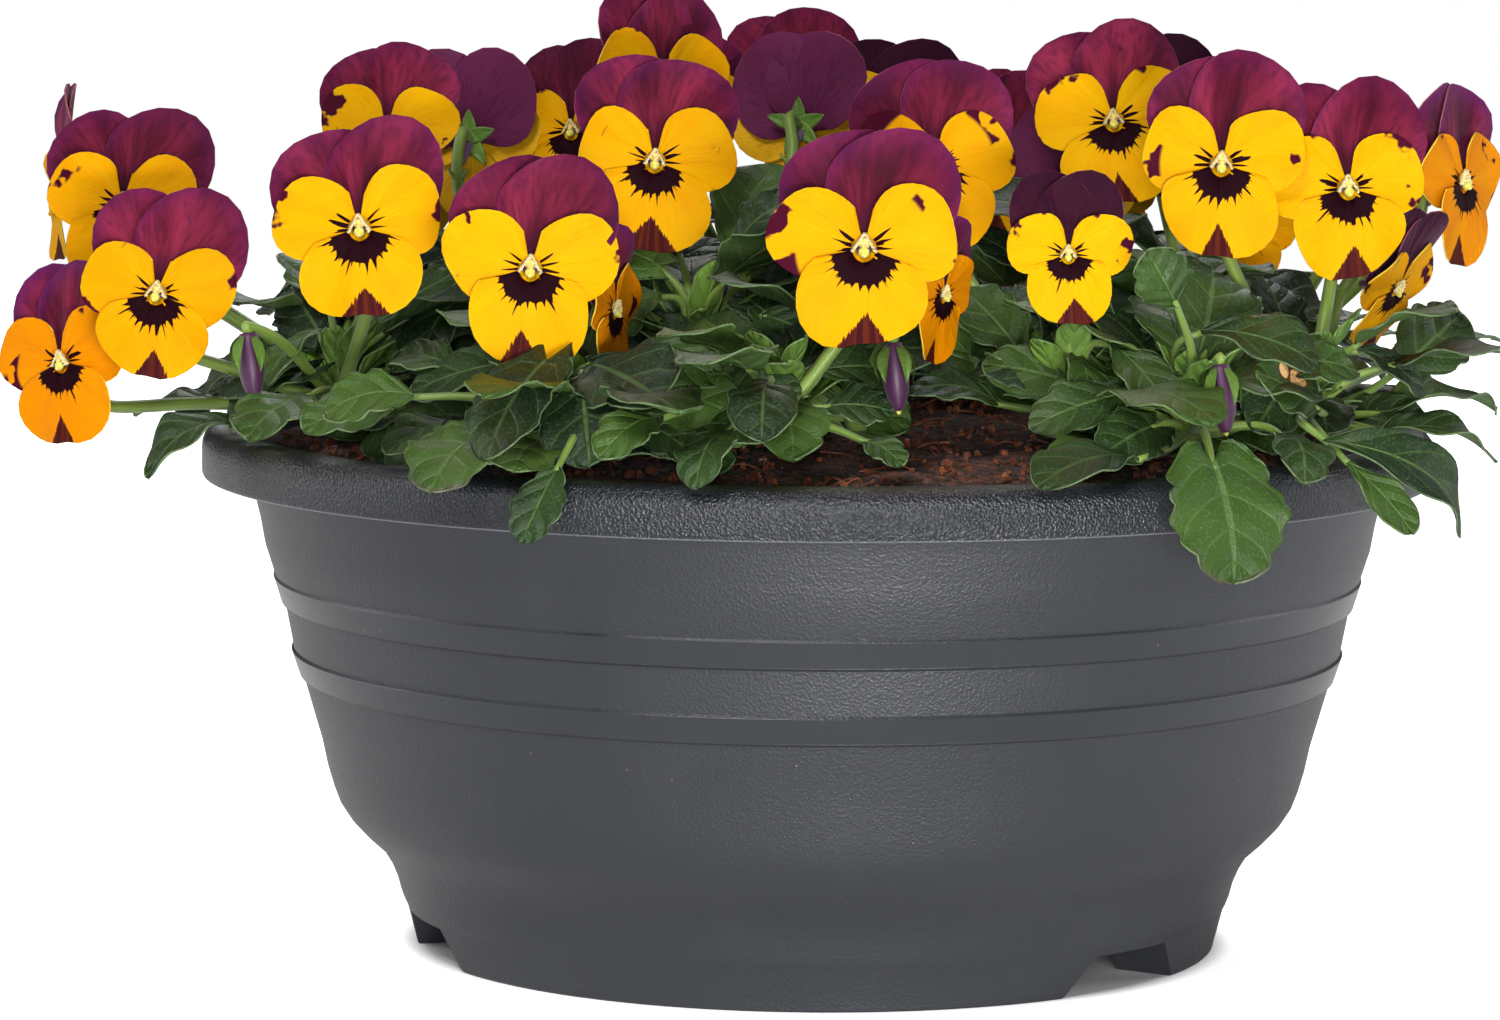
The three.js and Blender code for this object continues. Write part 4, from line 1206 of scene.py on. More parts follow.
@dataclass
class Bloom:
    """One bloom: five petals, its throat and its spur."""

    place: BloomPlace
    number: int
    columns: int = 24
    rows: int = 10

    def __post_init__(self) -> None:
        """Draws the bloom's own small differences."""
        self.draw = random.Random(500 + self.number)
        self.frame = self.place.matrix()
        self.tone = self.draw.uniform(0.05, 0.45)
        if self.number in ORANGE_BLOOMS:
            self.tone = 0.95
        self.patch = self.draw.choice((0.65, 0.75, 0.9, 1.15, 1.3))
        self.dark = self.draw.choice((0.0, 0.1, 0.25, 0.6))
        if self.number in DARK_BLOOMS:
            self.dark = 1.0
        elif self.number < FAR_NUMBER:
            self.dark *= 0.5
        self.seed = self.number * 3.7

    def petal(self, making: Modelling, petal: Petal, material: int) -> None:
        """Adds one petal.

        Args:
            making: The piece that it goes into.
            petal: Its shape.
            material: The material's index.
        """
        phase = self.draw.uniform(0, math.tau)
        waves = self.draw.uniform(2.2, 3.4)
        tilt = self.draw.uniform(-0.7, 0.7)
        stretch = self.draw.uniform(0.96, 1.03)
        swing = petal.turn + self.draw.uniform(-1.0, 1.0) * (
            11.0 if petal.part is PetalPart.UPPER else 4.0)
        turn = Matrix.Rotation(math.radians(swing), 3, "Y")

        def spot(u: float, v: float) -> tuple[float, float, float]:
            """Angle off the middle line, distance from the claw and depth."""
            angle = petal.span * math.sin(u * math.pi / 2)
            along = math.sin(v * math.pi / 2) ** 0.9
            wobble = 0.042 * math.sin(waves * 2.2 * u + phase)
            wobble += 0.02 * math.sin(11 * u + phase * 2)
            edge = petal.edge(angle, wobble) * stretch
            reach = lerp(petal.claw, edge, along)
            part = reach / petal.reach
            depth = petal.depth * min(1.0, part * 2.5)
            depth += petal.cup * (part**2) * math.sin(math.pi * min(1.0, part))
            depth += tilt * part * math.sin(math.radians(angle))
            depth += petal.ruffle * part**2.5 * math.sin(waves * math.pi * u + phase)
            depth += 2.4 * (1 - min(1.0, reach / 3.2)) ** 2
            depth += 1.4 * max(0.0, part - 0.7) ** 1.5
            return angle, reach, depth

        def place(u: float, v: float) -> Vector:
            """The place of a point of the petal."""
            angle, reach, depth = spot(u, v)
            lean = math.radians(angle)
            flat = Vector((reach * math.sin(lean), depth, reach * math.cos(lean)))
            return self.frame @ (turn @ flat)

        def front(u: float, v: float) -> tuple[float, float]:
            """The place on the bloom's face, from 0 to 1."""
            angle, reach, _ = spot(u, v)
            away = math.radians(angle + petal.turn)
            return 0.5 + reach * math.sin(away) / 60, 0.5 + reach * math.cos(away) / 60

        upper = petal.part is PetalPart.UPPER
        making.mark(tone=self.tone, seed=self.seed, patch=self.dark if upper else self.patch)
        making.sheet(self.columns, self.rows, place, material, front=front)

    def spur(self, making: Modelling, material: int) -> None:
        """Adds the spur behind the throat."""
        points = [Vector(p) for p in ((0, 1.5, 0), (0, 4.5, -0.8), (0, 8.0, -3.0), (0, 10.2, -5.0))]
        route = smooth_route([self.frame @ point for point in points], 4)
        size = self.place.size
        making.tube(route, lambda part: size * lerp(2.0, 0.8, part**0.6), 10, material)

    def heart(self, making: Modelling, stigma: int, hairs: int, throat: int) -> None:
        """Adds the stigma and the tufts of pale hairs in the throat.

        Args:
            making: The piece that they go into.
            stigma: The index of the stigma's material.
            hairs: The index of the hairs' material.
            throat: The index of the throat's material.
        """
        size = self.place.size
        parts = (((0, -0.4, -0.9), 1.1, stigma), ((0, -1.2, -1.4), 0.6, stigma),
                 ((0, 0.5, 1.0), 1.25, throat), ((0, -0.6, 0.3), 0.55, throat))
        for offset, radius, material in parts:
            middle = self.frame @ Vector(offset)
            made = bmesh.ops.create_icosphere(
                making.mesh, subdivisions=2, radius=radius * size,
                matrix=Matrix.Translation(middle),
            )["verts"]
            for face in {face for vert in made for face in vert.link_faces}:
                face.material_index = material
                face.smooth = True
        for side in (-1, 1):
            for i in range(14):
                part = i / 13
                root = Vector((side * lerp(0.2, 2.3, part), 0.2, lerp(2.7, -0.6, part)))
                lean = Vector((-side * self.draw.uniform(0.05, 0.4),
                               -self.draw.uniform(0.9, 1.3), -self.draw.uniform(0.0, 0.5)))
                tip = root + lean.normalized() * self.draw.uniform(0.9, 1.5)
                route = [self.frame @ root, self.frame @ ((root + tip) / 2), self.frame @ tip]
                making.tube(route, lambda at: size * lerp(0.42, 0.16, at), 4, hairs)


@dataclass
class Blooms:
    """All the blooms, with their finishes."""

    finishes: dict[str, bpy.types.Material]
    thickness: float = 0.32

    def build(self) -> None:
        """Builds every bloom in place of its nodes."""
        for i, place in enumerate(NEAR_BLOOMS):
            self._near(Bloom(place, i), f"bloom_{i + 1:02d}")
        for i, place in enumerate(FAR_BLOOMS):
            self._far(Bloom(place, FAR_NUMBER + i), f"far_bloom_{i + 1:02d}")
        log.info("blooms: %d near, %d far", len(NEAR_BLOOMS), len(FAR_BLOOMS))

    def _petals(self, bloom: Bloom, making: Modelling, parts: set[PetalPart]) -> None:
        """Adds the petals of some kinds; their material's index is by kind."""
        upper = 0 if len(parts) == 1 else 2
        indices = {PetalPart.LIP: 0, PetalPart.SIDE: 1, PetalPart.UPPER: upper}
        for petal in PETALS:
            if petal.part in parts:
                bloom.petal(making, petal, indices[petal.part])

    def _pick(self, *names: str) -> list[bpy.types.Material]:
        """The finishes of those names."""
        return [self.finishes[name] for name in names]

    def _near(self, bloom: Bloom, name: str) -> None:
        """A near bloom: yellow petals, maroon petals and the heart."""
        lower = Modelling()
        self._petals(bloom, lower, {PetalPart.LIP, PetalPart.SIDE})
        yellow = lower.finish(f"{name}_lower_petals", self._pick(
            "lip", "side", "yellow_back", "yellow_back"), self.thickness, 2)
        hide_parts(f"{name}_yellow")
        upper = Modelling()
        self._petals(bloom, upper, {PetalPart.UPPER})
        maroon = upper.finish(
            f"{name}_upper_petals", self._pick("upper", "upper_back"), self.thickness, 1)
        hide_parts(f"{name}_maroon")
        self._heart(bloom, name, f"{name}_yellow", "yellow_petals")

    def _far(self, bloom: Bloom, name: str) -> None:
        """A far bloom: all its petals in one piece, and the heart."""
        making = Modelling()
        self._petals(bloom, making, set(PetalPart))
        petals = making.finish(f"{name}_petals", self._pick(
            "lip", "side", "upper", "yellow_back", "yellow_back", "upper_back"),
            self.thickness, 3)
        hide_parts(name)
        self._heart(bloom, name, name, "far_petals")

    def _heart(self, bloom: Bloom, name: str, node: str, slot: str) -> None:
        """The spur, stigma and hairs of a bloom.

        Args:
            bloom: The bloom.
            name: Its name.
            node: The solid that the heart takes the place of.
            slot: The slot of that solid; not used.
        """
        making = Modelling()
        bloom.spur(making, 0)
        bloom.heart(making, 1, 2, 3)
        heart = making.finish(f"{name}_heart", self._pick("spur", "stigma", "hairs", "throat"))
        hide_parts(node)


# ---------------------------------------------------------------- plants


@dataclass(frozen=True)
class PlantPlace:
    """A plant: its crown, the wedge of the bowl that it fills, and its shoot heads."""

    name: str
    crown: tuple[float, float]
    wedge: tuple[float, float]
    heads: tuple[Triple, ...]

    def holds(self, x: float, y: float) -> bool:
        """True if (x, y) is in the plant's wedge."""
        middle = (self.wedge[0] + self.wedge[1]) / 2
        off = (azimuth_of(x, y) - middle + 540) % 360 - 180
        return abs(off) <= (self.wedge[1] - self.wedge[0]) / 2

    def inside(self, spot: Vector) -> float:
        """How far a point is inside the wedge, in mm."""
        first, last = (math.radians(side) for side in self.wedge)
        from_first = spot.x * math.cos(first) + spot.y * math.sin(first)
        from_last = -spot.x * math.cos(last) - spot.y * math.sin(last)
        return min(from_first, from_last)


PLANTS = (
    PlantPlace("plant_front", (-22, -62), (-50, 17),
               ((-49, -94, 121), (-9, -93, 124), (-26, -50, 130), (8, -72, 124))),
    PlantPlace("plant_right", (60, -46), (17, 88),
               ((77, -84, 122), (103, -58, 123), (52, -74, 124), (62, -28, 131))),
    PlantPlace("plant_left", (-72, -8), (-125, -50),
               ((-103, -38, 122), (-104, 4, 122), (-68, -28, 130), (-72, 20, 126))),
    PlantPlace("plant_back_right", (57, 40), (88, 160),
               ((96, 30, 122), (66, 78, 122), (36, 44, 130), (88, 58, 124))),
    PlantPlace("plant_back_left", (-18, 68), (160, 235),
               ((-26, 103, 121), (-60, 70, 122), (-14, 46, 131), (10, 96, 122))),
)


@dataclass(frozen=True)
class LargeLeaf:
    """A leaf with a place of its own: where its blade starts and ends, and its face."""

    plant: str
    head: int
    base: Triple
    tip: Triple
    face: Triple
    width: float
    arch: float


LARGE_LEAVES = tuple(LargeLeaf(*row) for row in (
    ("plant_right", 0, (80, -113, 118.5), (84, -121.5, 95), (0.42, -0.87, 0.3), 28, 2.5),
    ("plant_right", 1, (104, -90, 121), (135, -72, 99), (0.5, -0.75, 0.6), 15, 9),
    ("plant_right", 1, (108, -92, 117.5), (122, -100, 103), (0.6, -0.8, 0.3), 10, 1),
    ("plant_right", 0, (96, -90, 122), (99, -107, 114), (0.5, -0.6, 0.8), 14, 3),
    ("plant_right", 1, (104, -78, 126), (90, -92, 135), (-0.3, -0.8, 0.6), 14, 1),
    ("plant_right", 1, (118, -55, 123), (146, -30, 122), (0, -0.2, 1), 13, 4),
    ("plant_right", 1, (118, -62, 120), (144, -50, 113), (0, -0.4, 1), 12, 4),
    ("plant_right", 1, (122, -44, 130), (138, -28, 142), (0.3, -0.9, 0.4), 17, 2),
    ("plant_right", 1, (120, -32, 130), (147, -8, 136), (0, -0.4, 1), 17, 3),
    ("plant_right", 0, (73.3, -97, 149.0), (66.7, -101, 160.3), (-0.1, -1, 0.35), 13, 1),
    ("plant_right", 0, (66, -106, 118.5), (44, -132, 116), (0, -0.5, 1), 15, 3),
    ("plant_front", 1, (-6, -100, 130), (-5, -117, 119), (0, -0.6, 0.8), 16, 2),
    ("plant_front", 0, (-52, -127, 118.5), (-59, -137, 104), (-0.2, -1, 0.3), 11, 1),
    ("plant_front", 0, (-38, -102, 124), (-22, -107, 124), (0.1, -0.9, 0.6), 18, 1),
    ("plant_front", 1, (9, -106, 122), (17, -112, 117.5), (0.3, -0.6, 0.8), 9, 1),
    ("plant_front", 1, (1, -98, 128), (15, -97, 127), (0, -0.6, 0.8), 12, 1),
    ("plant_front", 2, (-18, -90, 136), (-38, -92, 136), (0, -0.8, 0.6), 14, 2),
    ("plant_front", 0, (-68, -104, 122), (-78, -124, 113), (-0.3, -0.8, 0.7), 22, 3),
    ("plant_front", 0, (-57, -106, 121), (-61, -126, 117.5), (0, -0.6, 0.8), 19, 2),
    ("plant_left", 0, (-124, -45, 119), (-142, -56, 108), (-0.3, -0.4, 0.9), 12, 4),
    ("plant_left", 1, (-128, -20, 121), (-149, -12, 117), (0, -0.2, 1), 12, 2),
    ("plant_left", 0, (-107, -58, 126), (-119, -76, 118.5), (-0.2, -0.5, 0.9), 18, 2),
    ("plant_left", 0, (-88, -72, 124), (-107, -80, 121), (0, -0.6, 0.9), 15, 2),
))

# The dry spots: number of the large leaf, place along and across its blade, and radius.
LEAF_SPOTS = ((1, 0.84, -0.28, 2.4), (4, 0.42, 0.2, 2.6), (4, 0.62, 0.26, 2.0))


def place_on(leaf: LargeLeaf, along: float, aside: float) -> Triple:
    """The place on a large leaf's blade at a part of its length and of its width.

    Args:
        leaf: The leaf.
        along: The part of the length, from the base.
        aside: The part of the width, from the middle line.

    Returns:
        The place, in mm.
    """
    base, tip, face = Vector(leaf.base), Vector(leaf.tip), Vector(leaf.face)
    ahead = tip - base
    up = (face - ahead * (face.dot(ahead) / ahead.length_squared)).normalized()
    side = ahead.normalized().cross(up)
    spot = base + ahead * along + up * (leaf.arch * 4 * along * (1 - along))
    return tuple(spot + side * (aside * leaf.width))


# The buds that hang over the leaves: plant, shoot head and middle.
BUDS = (
    ("plant_front", 3, (15, -98, 133)),
    ("plant_right", 0, (82, -98, 129)),
    ("plant_left", 0, (-120, -62, 131)),
)


@dataclass(frozen=True)
class LeafShape:
    """The outline and the set of a blade."""

    peak: float
    heel: float
    fullness: float
    teeth: int
    tooth: float
    lobe: float = 0.0
    fold: float = 0.16
    wave: float = 0.05
    curl: float = 0.1
    start: float = 0.0

    def half_width(self, t: float) -> float:
        """Half the width at a fraction of the length, for a blade of width 1."""
        if t < self.peak:
            return 0.5 * math.sin(math.pi / 2 * lerp(self.start, 1.0, t / self.peak)) ** self.heel
        part = min(1.0, (t - self.peak) / (1 - self.peak))
        return 0.5 * math.cos(math.pi / 2 * part) ** self.fullness

    def crenate(self, t: float) -> float:
        """How far the edge is cut back between two rounded teeth, from 0 to 1."""
        return 1 - abs(math.sin(math.pi * self.teeth * t)) ** 0.7


HEART = LeafShape(0.4, 0.6, 0.44, 5, 0.17, lobe=0.2, fold=0.06, wave=0.05, start=0.4)
OVATE = LeafShape(0.56, 0.85, 0.44, 4, 0.18, fold=0.12)
SPOON = LeafShape(0.68, 1.3, 0.45, 3, 0.12, fold=0.16)
LANCE = LeafShape(0.45, 0.9, 0.72, 5, 0.06, fold=0.3, wave=0.08)
STIPULE = LeafShape(0.4, 0.8, 0.9, 3, 0.0, fold=0.25, wave=0.0)


@dataclass(frozen=True)
class Blade:
    """A leaf to be made: its petiole from the shoot head, and its blade."""

    head: Vector
    base: Vector
    tip: Vector
    face: Vector
    width: float
    arch: float

    def samples(self) -> list[Vector]:
        """Points spread over the blade: its middle line and both edges."""
        along = self.tip - self.base
        up = self.face - along * (self.face.dot(along) / along.length_squared)
        up = up.normalized() * self.arch
        side = along.cross(self.face).normalized() * (self.width / 2)
        rows = ((0, 0), (0.2, 0.7), (0.4, 1), (0.6, 1), (0.8, 0.85), (1, 0))
        points = []
        for t, wide in rows:
            centre = self.base + along * t + up * (4 * t * (1 - t))
            if wide == 0:
                points.append(centre)
            else:
                points.extend(centre + side * (k * wide) for k in (-1, -0.5, 0, 0.5, 1))
        return points


@dataclass(frozen=True)
class Stalk:
    """A flower stalk: its plant and the points from the shoot head to the bloom."""

    plant: PlantPlace
    points: tuple[Vector, ...]
    size: float


class Foliage:
    """The rules by which stalks and leaves find their places among each other."""

    filler_reach = 141.0
    face_radius = 17.0
    face_depth = (-50.0, 6.0)
    bare_soil = ((-8.0, 42.0), -92.0, 124.0)

    def __init__(self, soil: Soil) -> None:
        """Sets out the stalks, which the leaves keep clear of."""
        self.soil = soil
        self.blooms = [*NEAR_BLOOMS, *FAR_BLOOMS]
        self.inverses = [place.matrix().inverted() for place in self.blooms]
        self.stalks = [self._stalk(place) for place in self.blooms]
        self.segments = [
            pair for stalk in self.stalks for pair in zip(stalk.points, stalk.points[1:])
        ]

    def _stalk(self, place: BloomPlace) -> Stalk:
        """The stalk of a bloom: up from the nearest shoot head and over to its back.

        Args:
            place: The bloom's place.

        Returns:
            The stalk, on the plant that the bloom hangs over.
        """
        frame = place.matrix()
        end, hook, fall = (
            frame @ Vector(p) for p in ((0, 5, 1.3), (0, 10.5, 2.5), (0, 13.5, -10))
        )
        plant = next(plant for plant in PLANTS if plant.holds(fall.x, fall.y))
        heads = [Vector(head) for head in plant.heads]
        head = min(heads, key=lambda spot: math.hypot(spot.x - fall.x, spot.y - fall.y))
        rise = head.lerp(fall, 0.55)
        rise.z = head.z + (fall.z - head.z) * 0.5
        return Stalk(plant, (head, rise, fall, hook, end), place.size)

    def over_pot(self, spot: Vector) -> bool:
        """True if the point keeps clear of the bowl and the soil."""
        reach = math.hypot(spot.x, spot.y)
        if reach > 136.5:
            return spot.z > 96
        if reach > 119:
            return spot.z > 116
        return spot.z > self.soil.height(spot.x, spot.y) + 1.5

    def clear_of_blooms(self, spot: Vector, depth: float = 5.5, reach: float = 25.0) -> bool:
        """True if the point keeps clear of every bloom.

        Args:
            spot: The point.
            depth: How far to keep off a bloom's front and back, in mm.
            reach: The radius of a bloom's own room, in mm.

        Returns:
            Whether it keeps clear.
        """
        for inverse in self.inverses:
            local = inverse @ spot
            if abs(local.y) <= depth and math.hypot(local.x, local.z) <= reach:
                return False
        return True

    def clear_of_stalks(self, spot: Vector, gap: float = 3.0) -> bool:
        """True if the point keeps clear of the stalks."""
        for start, end in self.segments:
            ahead = end - start
            part = max(0.0, min(1.0, (spot - start).dot(ahead) / ahead.length_squared))
            if (start + ahead * part - spot).length <= gap:
                return False
        return True

    @staticmethod
    def tried(head: Vector, azimuth: float, rise: float, length: float) -> Blade:
        """The leaf that is tried at a head.

        Args:
            head: The shoot head.
            azimuth: Which way the leaf goes.
            rise: How steeply its petiole rises, in degrees.
            length: The length of its blade.

        Returns:
            The leaf.
        """
        turn = math.radians(azimuth)
        flat, up = math.cos(math.radians(rise)), math.sin(math.radians(rise))
        out = Vector((math.sin(turn) * flat, -math.cos(turn) * flat, up))
        base = head + out * (10 + length * 0.35)
        ahead = Vector((math.sin(turn), -math.cos(turn), up - 0.45))
        tip = base + ahead.normalized() * length
        face = Vector((-math.sin(turn) * 0.5 * flat, math.cos(turn) * 0.5 * flat, 1))
        return Blade(head, base, tip, face, length * 0.66, 2)

    def small_leaves(self, plant: PlantPlace, large: Sequence[Blade]) -> list[Blade]:
        """The smaller leaves of a plant, each turned until it is clear of the rest.

        Args:
            plant: The plant.
            large: The large leaves that it has.

        Returns:
            The leaves that found a free place.
        """
        taken = [(blade.samples(), 9.0) for blade in large]
        leaves: list[Blade] = []
        for i in range(4):
            for index, head in enumerate(Vector(place) for place in plant.heads):
                for attempt in range(60):
                    azimuth = (index * 50 + i * GOLDEN_ANGLE + attempt * 31) % 360
                    rise = 10 + ((i * 19 + attempt * 23) % 62)
                    length = 24 + ((index * 5 + i * 7) % 9)
                    blade = self.tried(head, azimuth, rise, length)
                    samples = blade.samples()
                    if self._free(plant, samples) and self._apart(samples, taken):
                        taken.append((samples, 4.0))
                        leaves.append(blade)
                        break
        return leaves

    def _free(self, plant: PlantPlace, samples: Sequence[Vector]) -> bool:
        """True if a blade is in its wedge and clear of bowl, blooms and stalks."""
        return all(
            plant.inside(spot) > 0.8 and self.over_pot(spot)
            and self.clear_of_blooms(spot) and self.clear_of_stalks(spot)
            for spot in samples
        )

    @staticmethod
    def _apart(
        samples: Sequence[Vector], taken: Sequence[tuple[Sequence[Vector], float]]
    ) -> bool:
        """True if a blade keeps off all the others, each by its own gap."""
        return all(
            (spot - other).length > gap for others, gap in taken for other in others
            for spot in samples
        )

    def fillers(self, plant: PlantPlace, count: int, draw: random.Random) -> list[Blade]:
        """Leaves that fill the cushion between the others.

        Args:
            plant: The plant that they grow on.
            count: How many are wanted.
            draw: The source of random numbers.

        Returns:
            The leaves that found a free place.
        """
        heads = [Vector(place) for place in plant.heads]
        open_heads = [head for head in heads if head.y < -80 and head.z < 126]
        leaves: list[Blade] = []
        middles: list[Vector] = []
        for attempt in range(count * 40):
            if len(leaves) >= count:
                break
            head = draw.choice(heads)
            blade = self._low(plant, draw) if attempt % 3 == 0 else self._mound(head, draw)
            middle = (blade.base + blade.tip) / 2
            samples = blade.samples()
            if not all(
                plant.inside(spot) > -8 and math.hypot(spot.x, spot.y) < self.filler_reach
                and self.over_pot(spot) and self.clear_of_blooms(spot, 3.2, 21)
                and self._clear_of_buds(spot) and self._clear_of_faces(spot)
                and not self._over_bare_soil(spot)
                for spot in samples
            ):
                continue
            if any((middle - spot).length < 15.0 for spot in open_heads):
                continue
            if any((middle - other).length < 6.0 for other in middles):
                continue
            if not all(self.clear_of_stalks(spot, 1.6) for spot in samples[::2]):
                continue
            middles.append(middle)
            leaves.append(blade)
        return leaves

    @staticmethod
    def _laid(head: Vector, base: Vector, turn: float, draw: random.Random) -> Blade:
        """A filling leaf at a place, its face turned up and away from the bowl's middle.

        Args:
            head: The shoot head.
            base: Where the blade starts.
            turn: Which way it points, in radians.
            draw: The source of random numbers.

        Returns:
            The leaf.
        """
        length = draw.uniform(17, 31)
        out = Vector((base.x, base.y - 50, 0)).normalized()
        flat = Vector((math.sin(turn), -math.cos(turn), 0))
        ahead = flat + Vector((0, 0, draw.uniform(-0.3, 0.4) - 0.6 * flat.dot(out)))
        tip = base + ahead.normalized() * length
        face = out * draw.uniform(0.4, 1.0) + Vector((draw.uniform(-0.3, 0.3), 0, 0.8))
        return Blade(head, base, tip, face, length * draw.uniform(0.55, 0.78),
                     draw.uniform(1, 4))

    def _mound(self, head: Vector, draw: random.Random) -> Blade:
        """A filling leaf over a shoot head."""
        spread = draw.uniform(0.0, 34.0)
        turn = draw.uniform(0, math.tau)
        high = 34 if head.z > 126 else 22
        rise = draw.uniform(-6, high) * (1 - spread / 60)
        base = head + Vector((math.sin(turn) * spread, -math.cos(turn) * spread, rise))
        return self._laid(head, base, turn, draw)

    def _low(self, plant: PlantPlace, draw: random.Random) -> Blade:
        """A filling leaf that lies over the soil near the rim."""
        azimuth = math.radians(draw.uniform(*plant.wedge))
        reach = draw.uniform(92, 116)
        base = Vector((math.sin(azimuth) * reach, -math.cos(azimuth) * reach, 0))
        base.z = self.soil.height(base.x, base.y) + draw.uniform(5, 12)
        head = min((Vector(place) for place in plant.heads), key=lambda p: (p - base).length)
        return self._laid(head, base, azimuth + draw.uniform(-1.5, 1.5), draw)

    def _clear_of_faces(self, spot: Vector) -> bool:
        """True if the point doesn't stand before the face of a near bloom."""
        for inverse in self.inverses[:len(NEAR_BLOOMS)]:
            local = inverse @ spot
            before = self.face_depth[0] < local.y < self.face_depth[1]
            if before and math.hypot(local.x, local.z) < self.face_radius:
                return False
        return True

    def _over_bare_soil(self, spot: Vector) -> bool:
        """True if the point is over the soil that shows at the front."""
        (left, right), front, top = self.bare_soil
        return left < spot.x < right and spot.y < front and spot.z < top

    @staticmethod
    def _clear_of_buds(spot: Vector) -> bool:
        """True if the point doesn't hide a hanging bud."""
        for _, _, place in BUDS:
            off = spot - Vector(place)
            if off.y < 4 and abs(off.x) < 8 and abs(off.z) < 12:
                return False
        return True


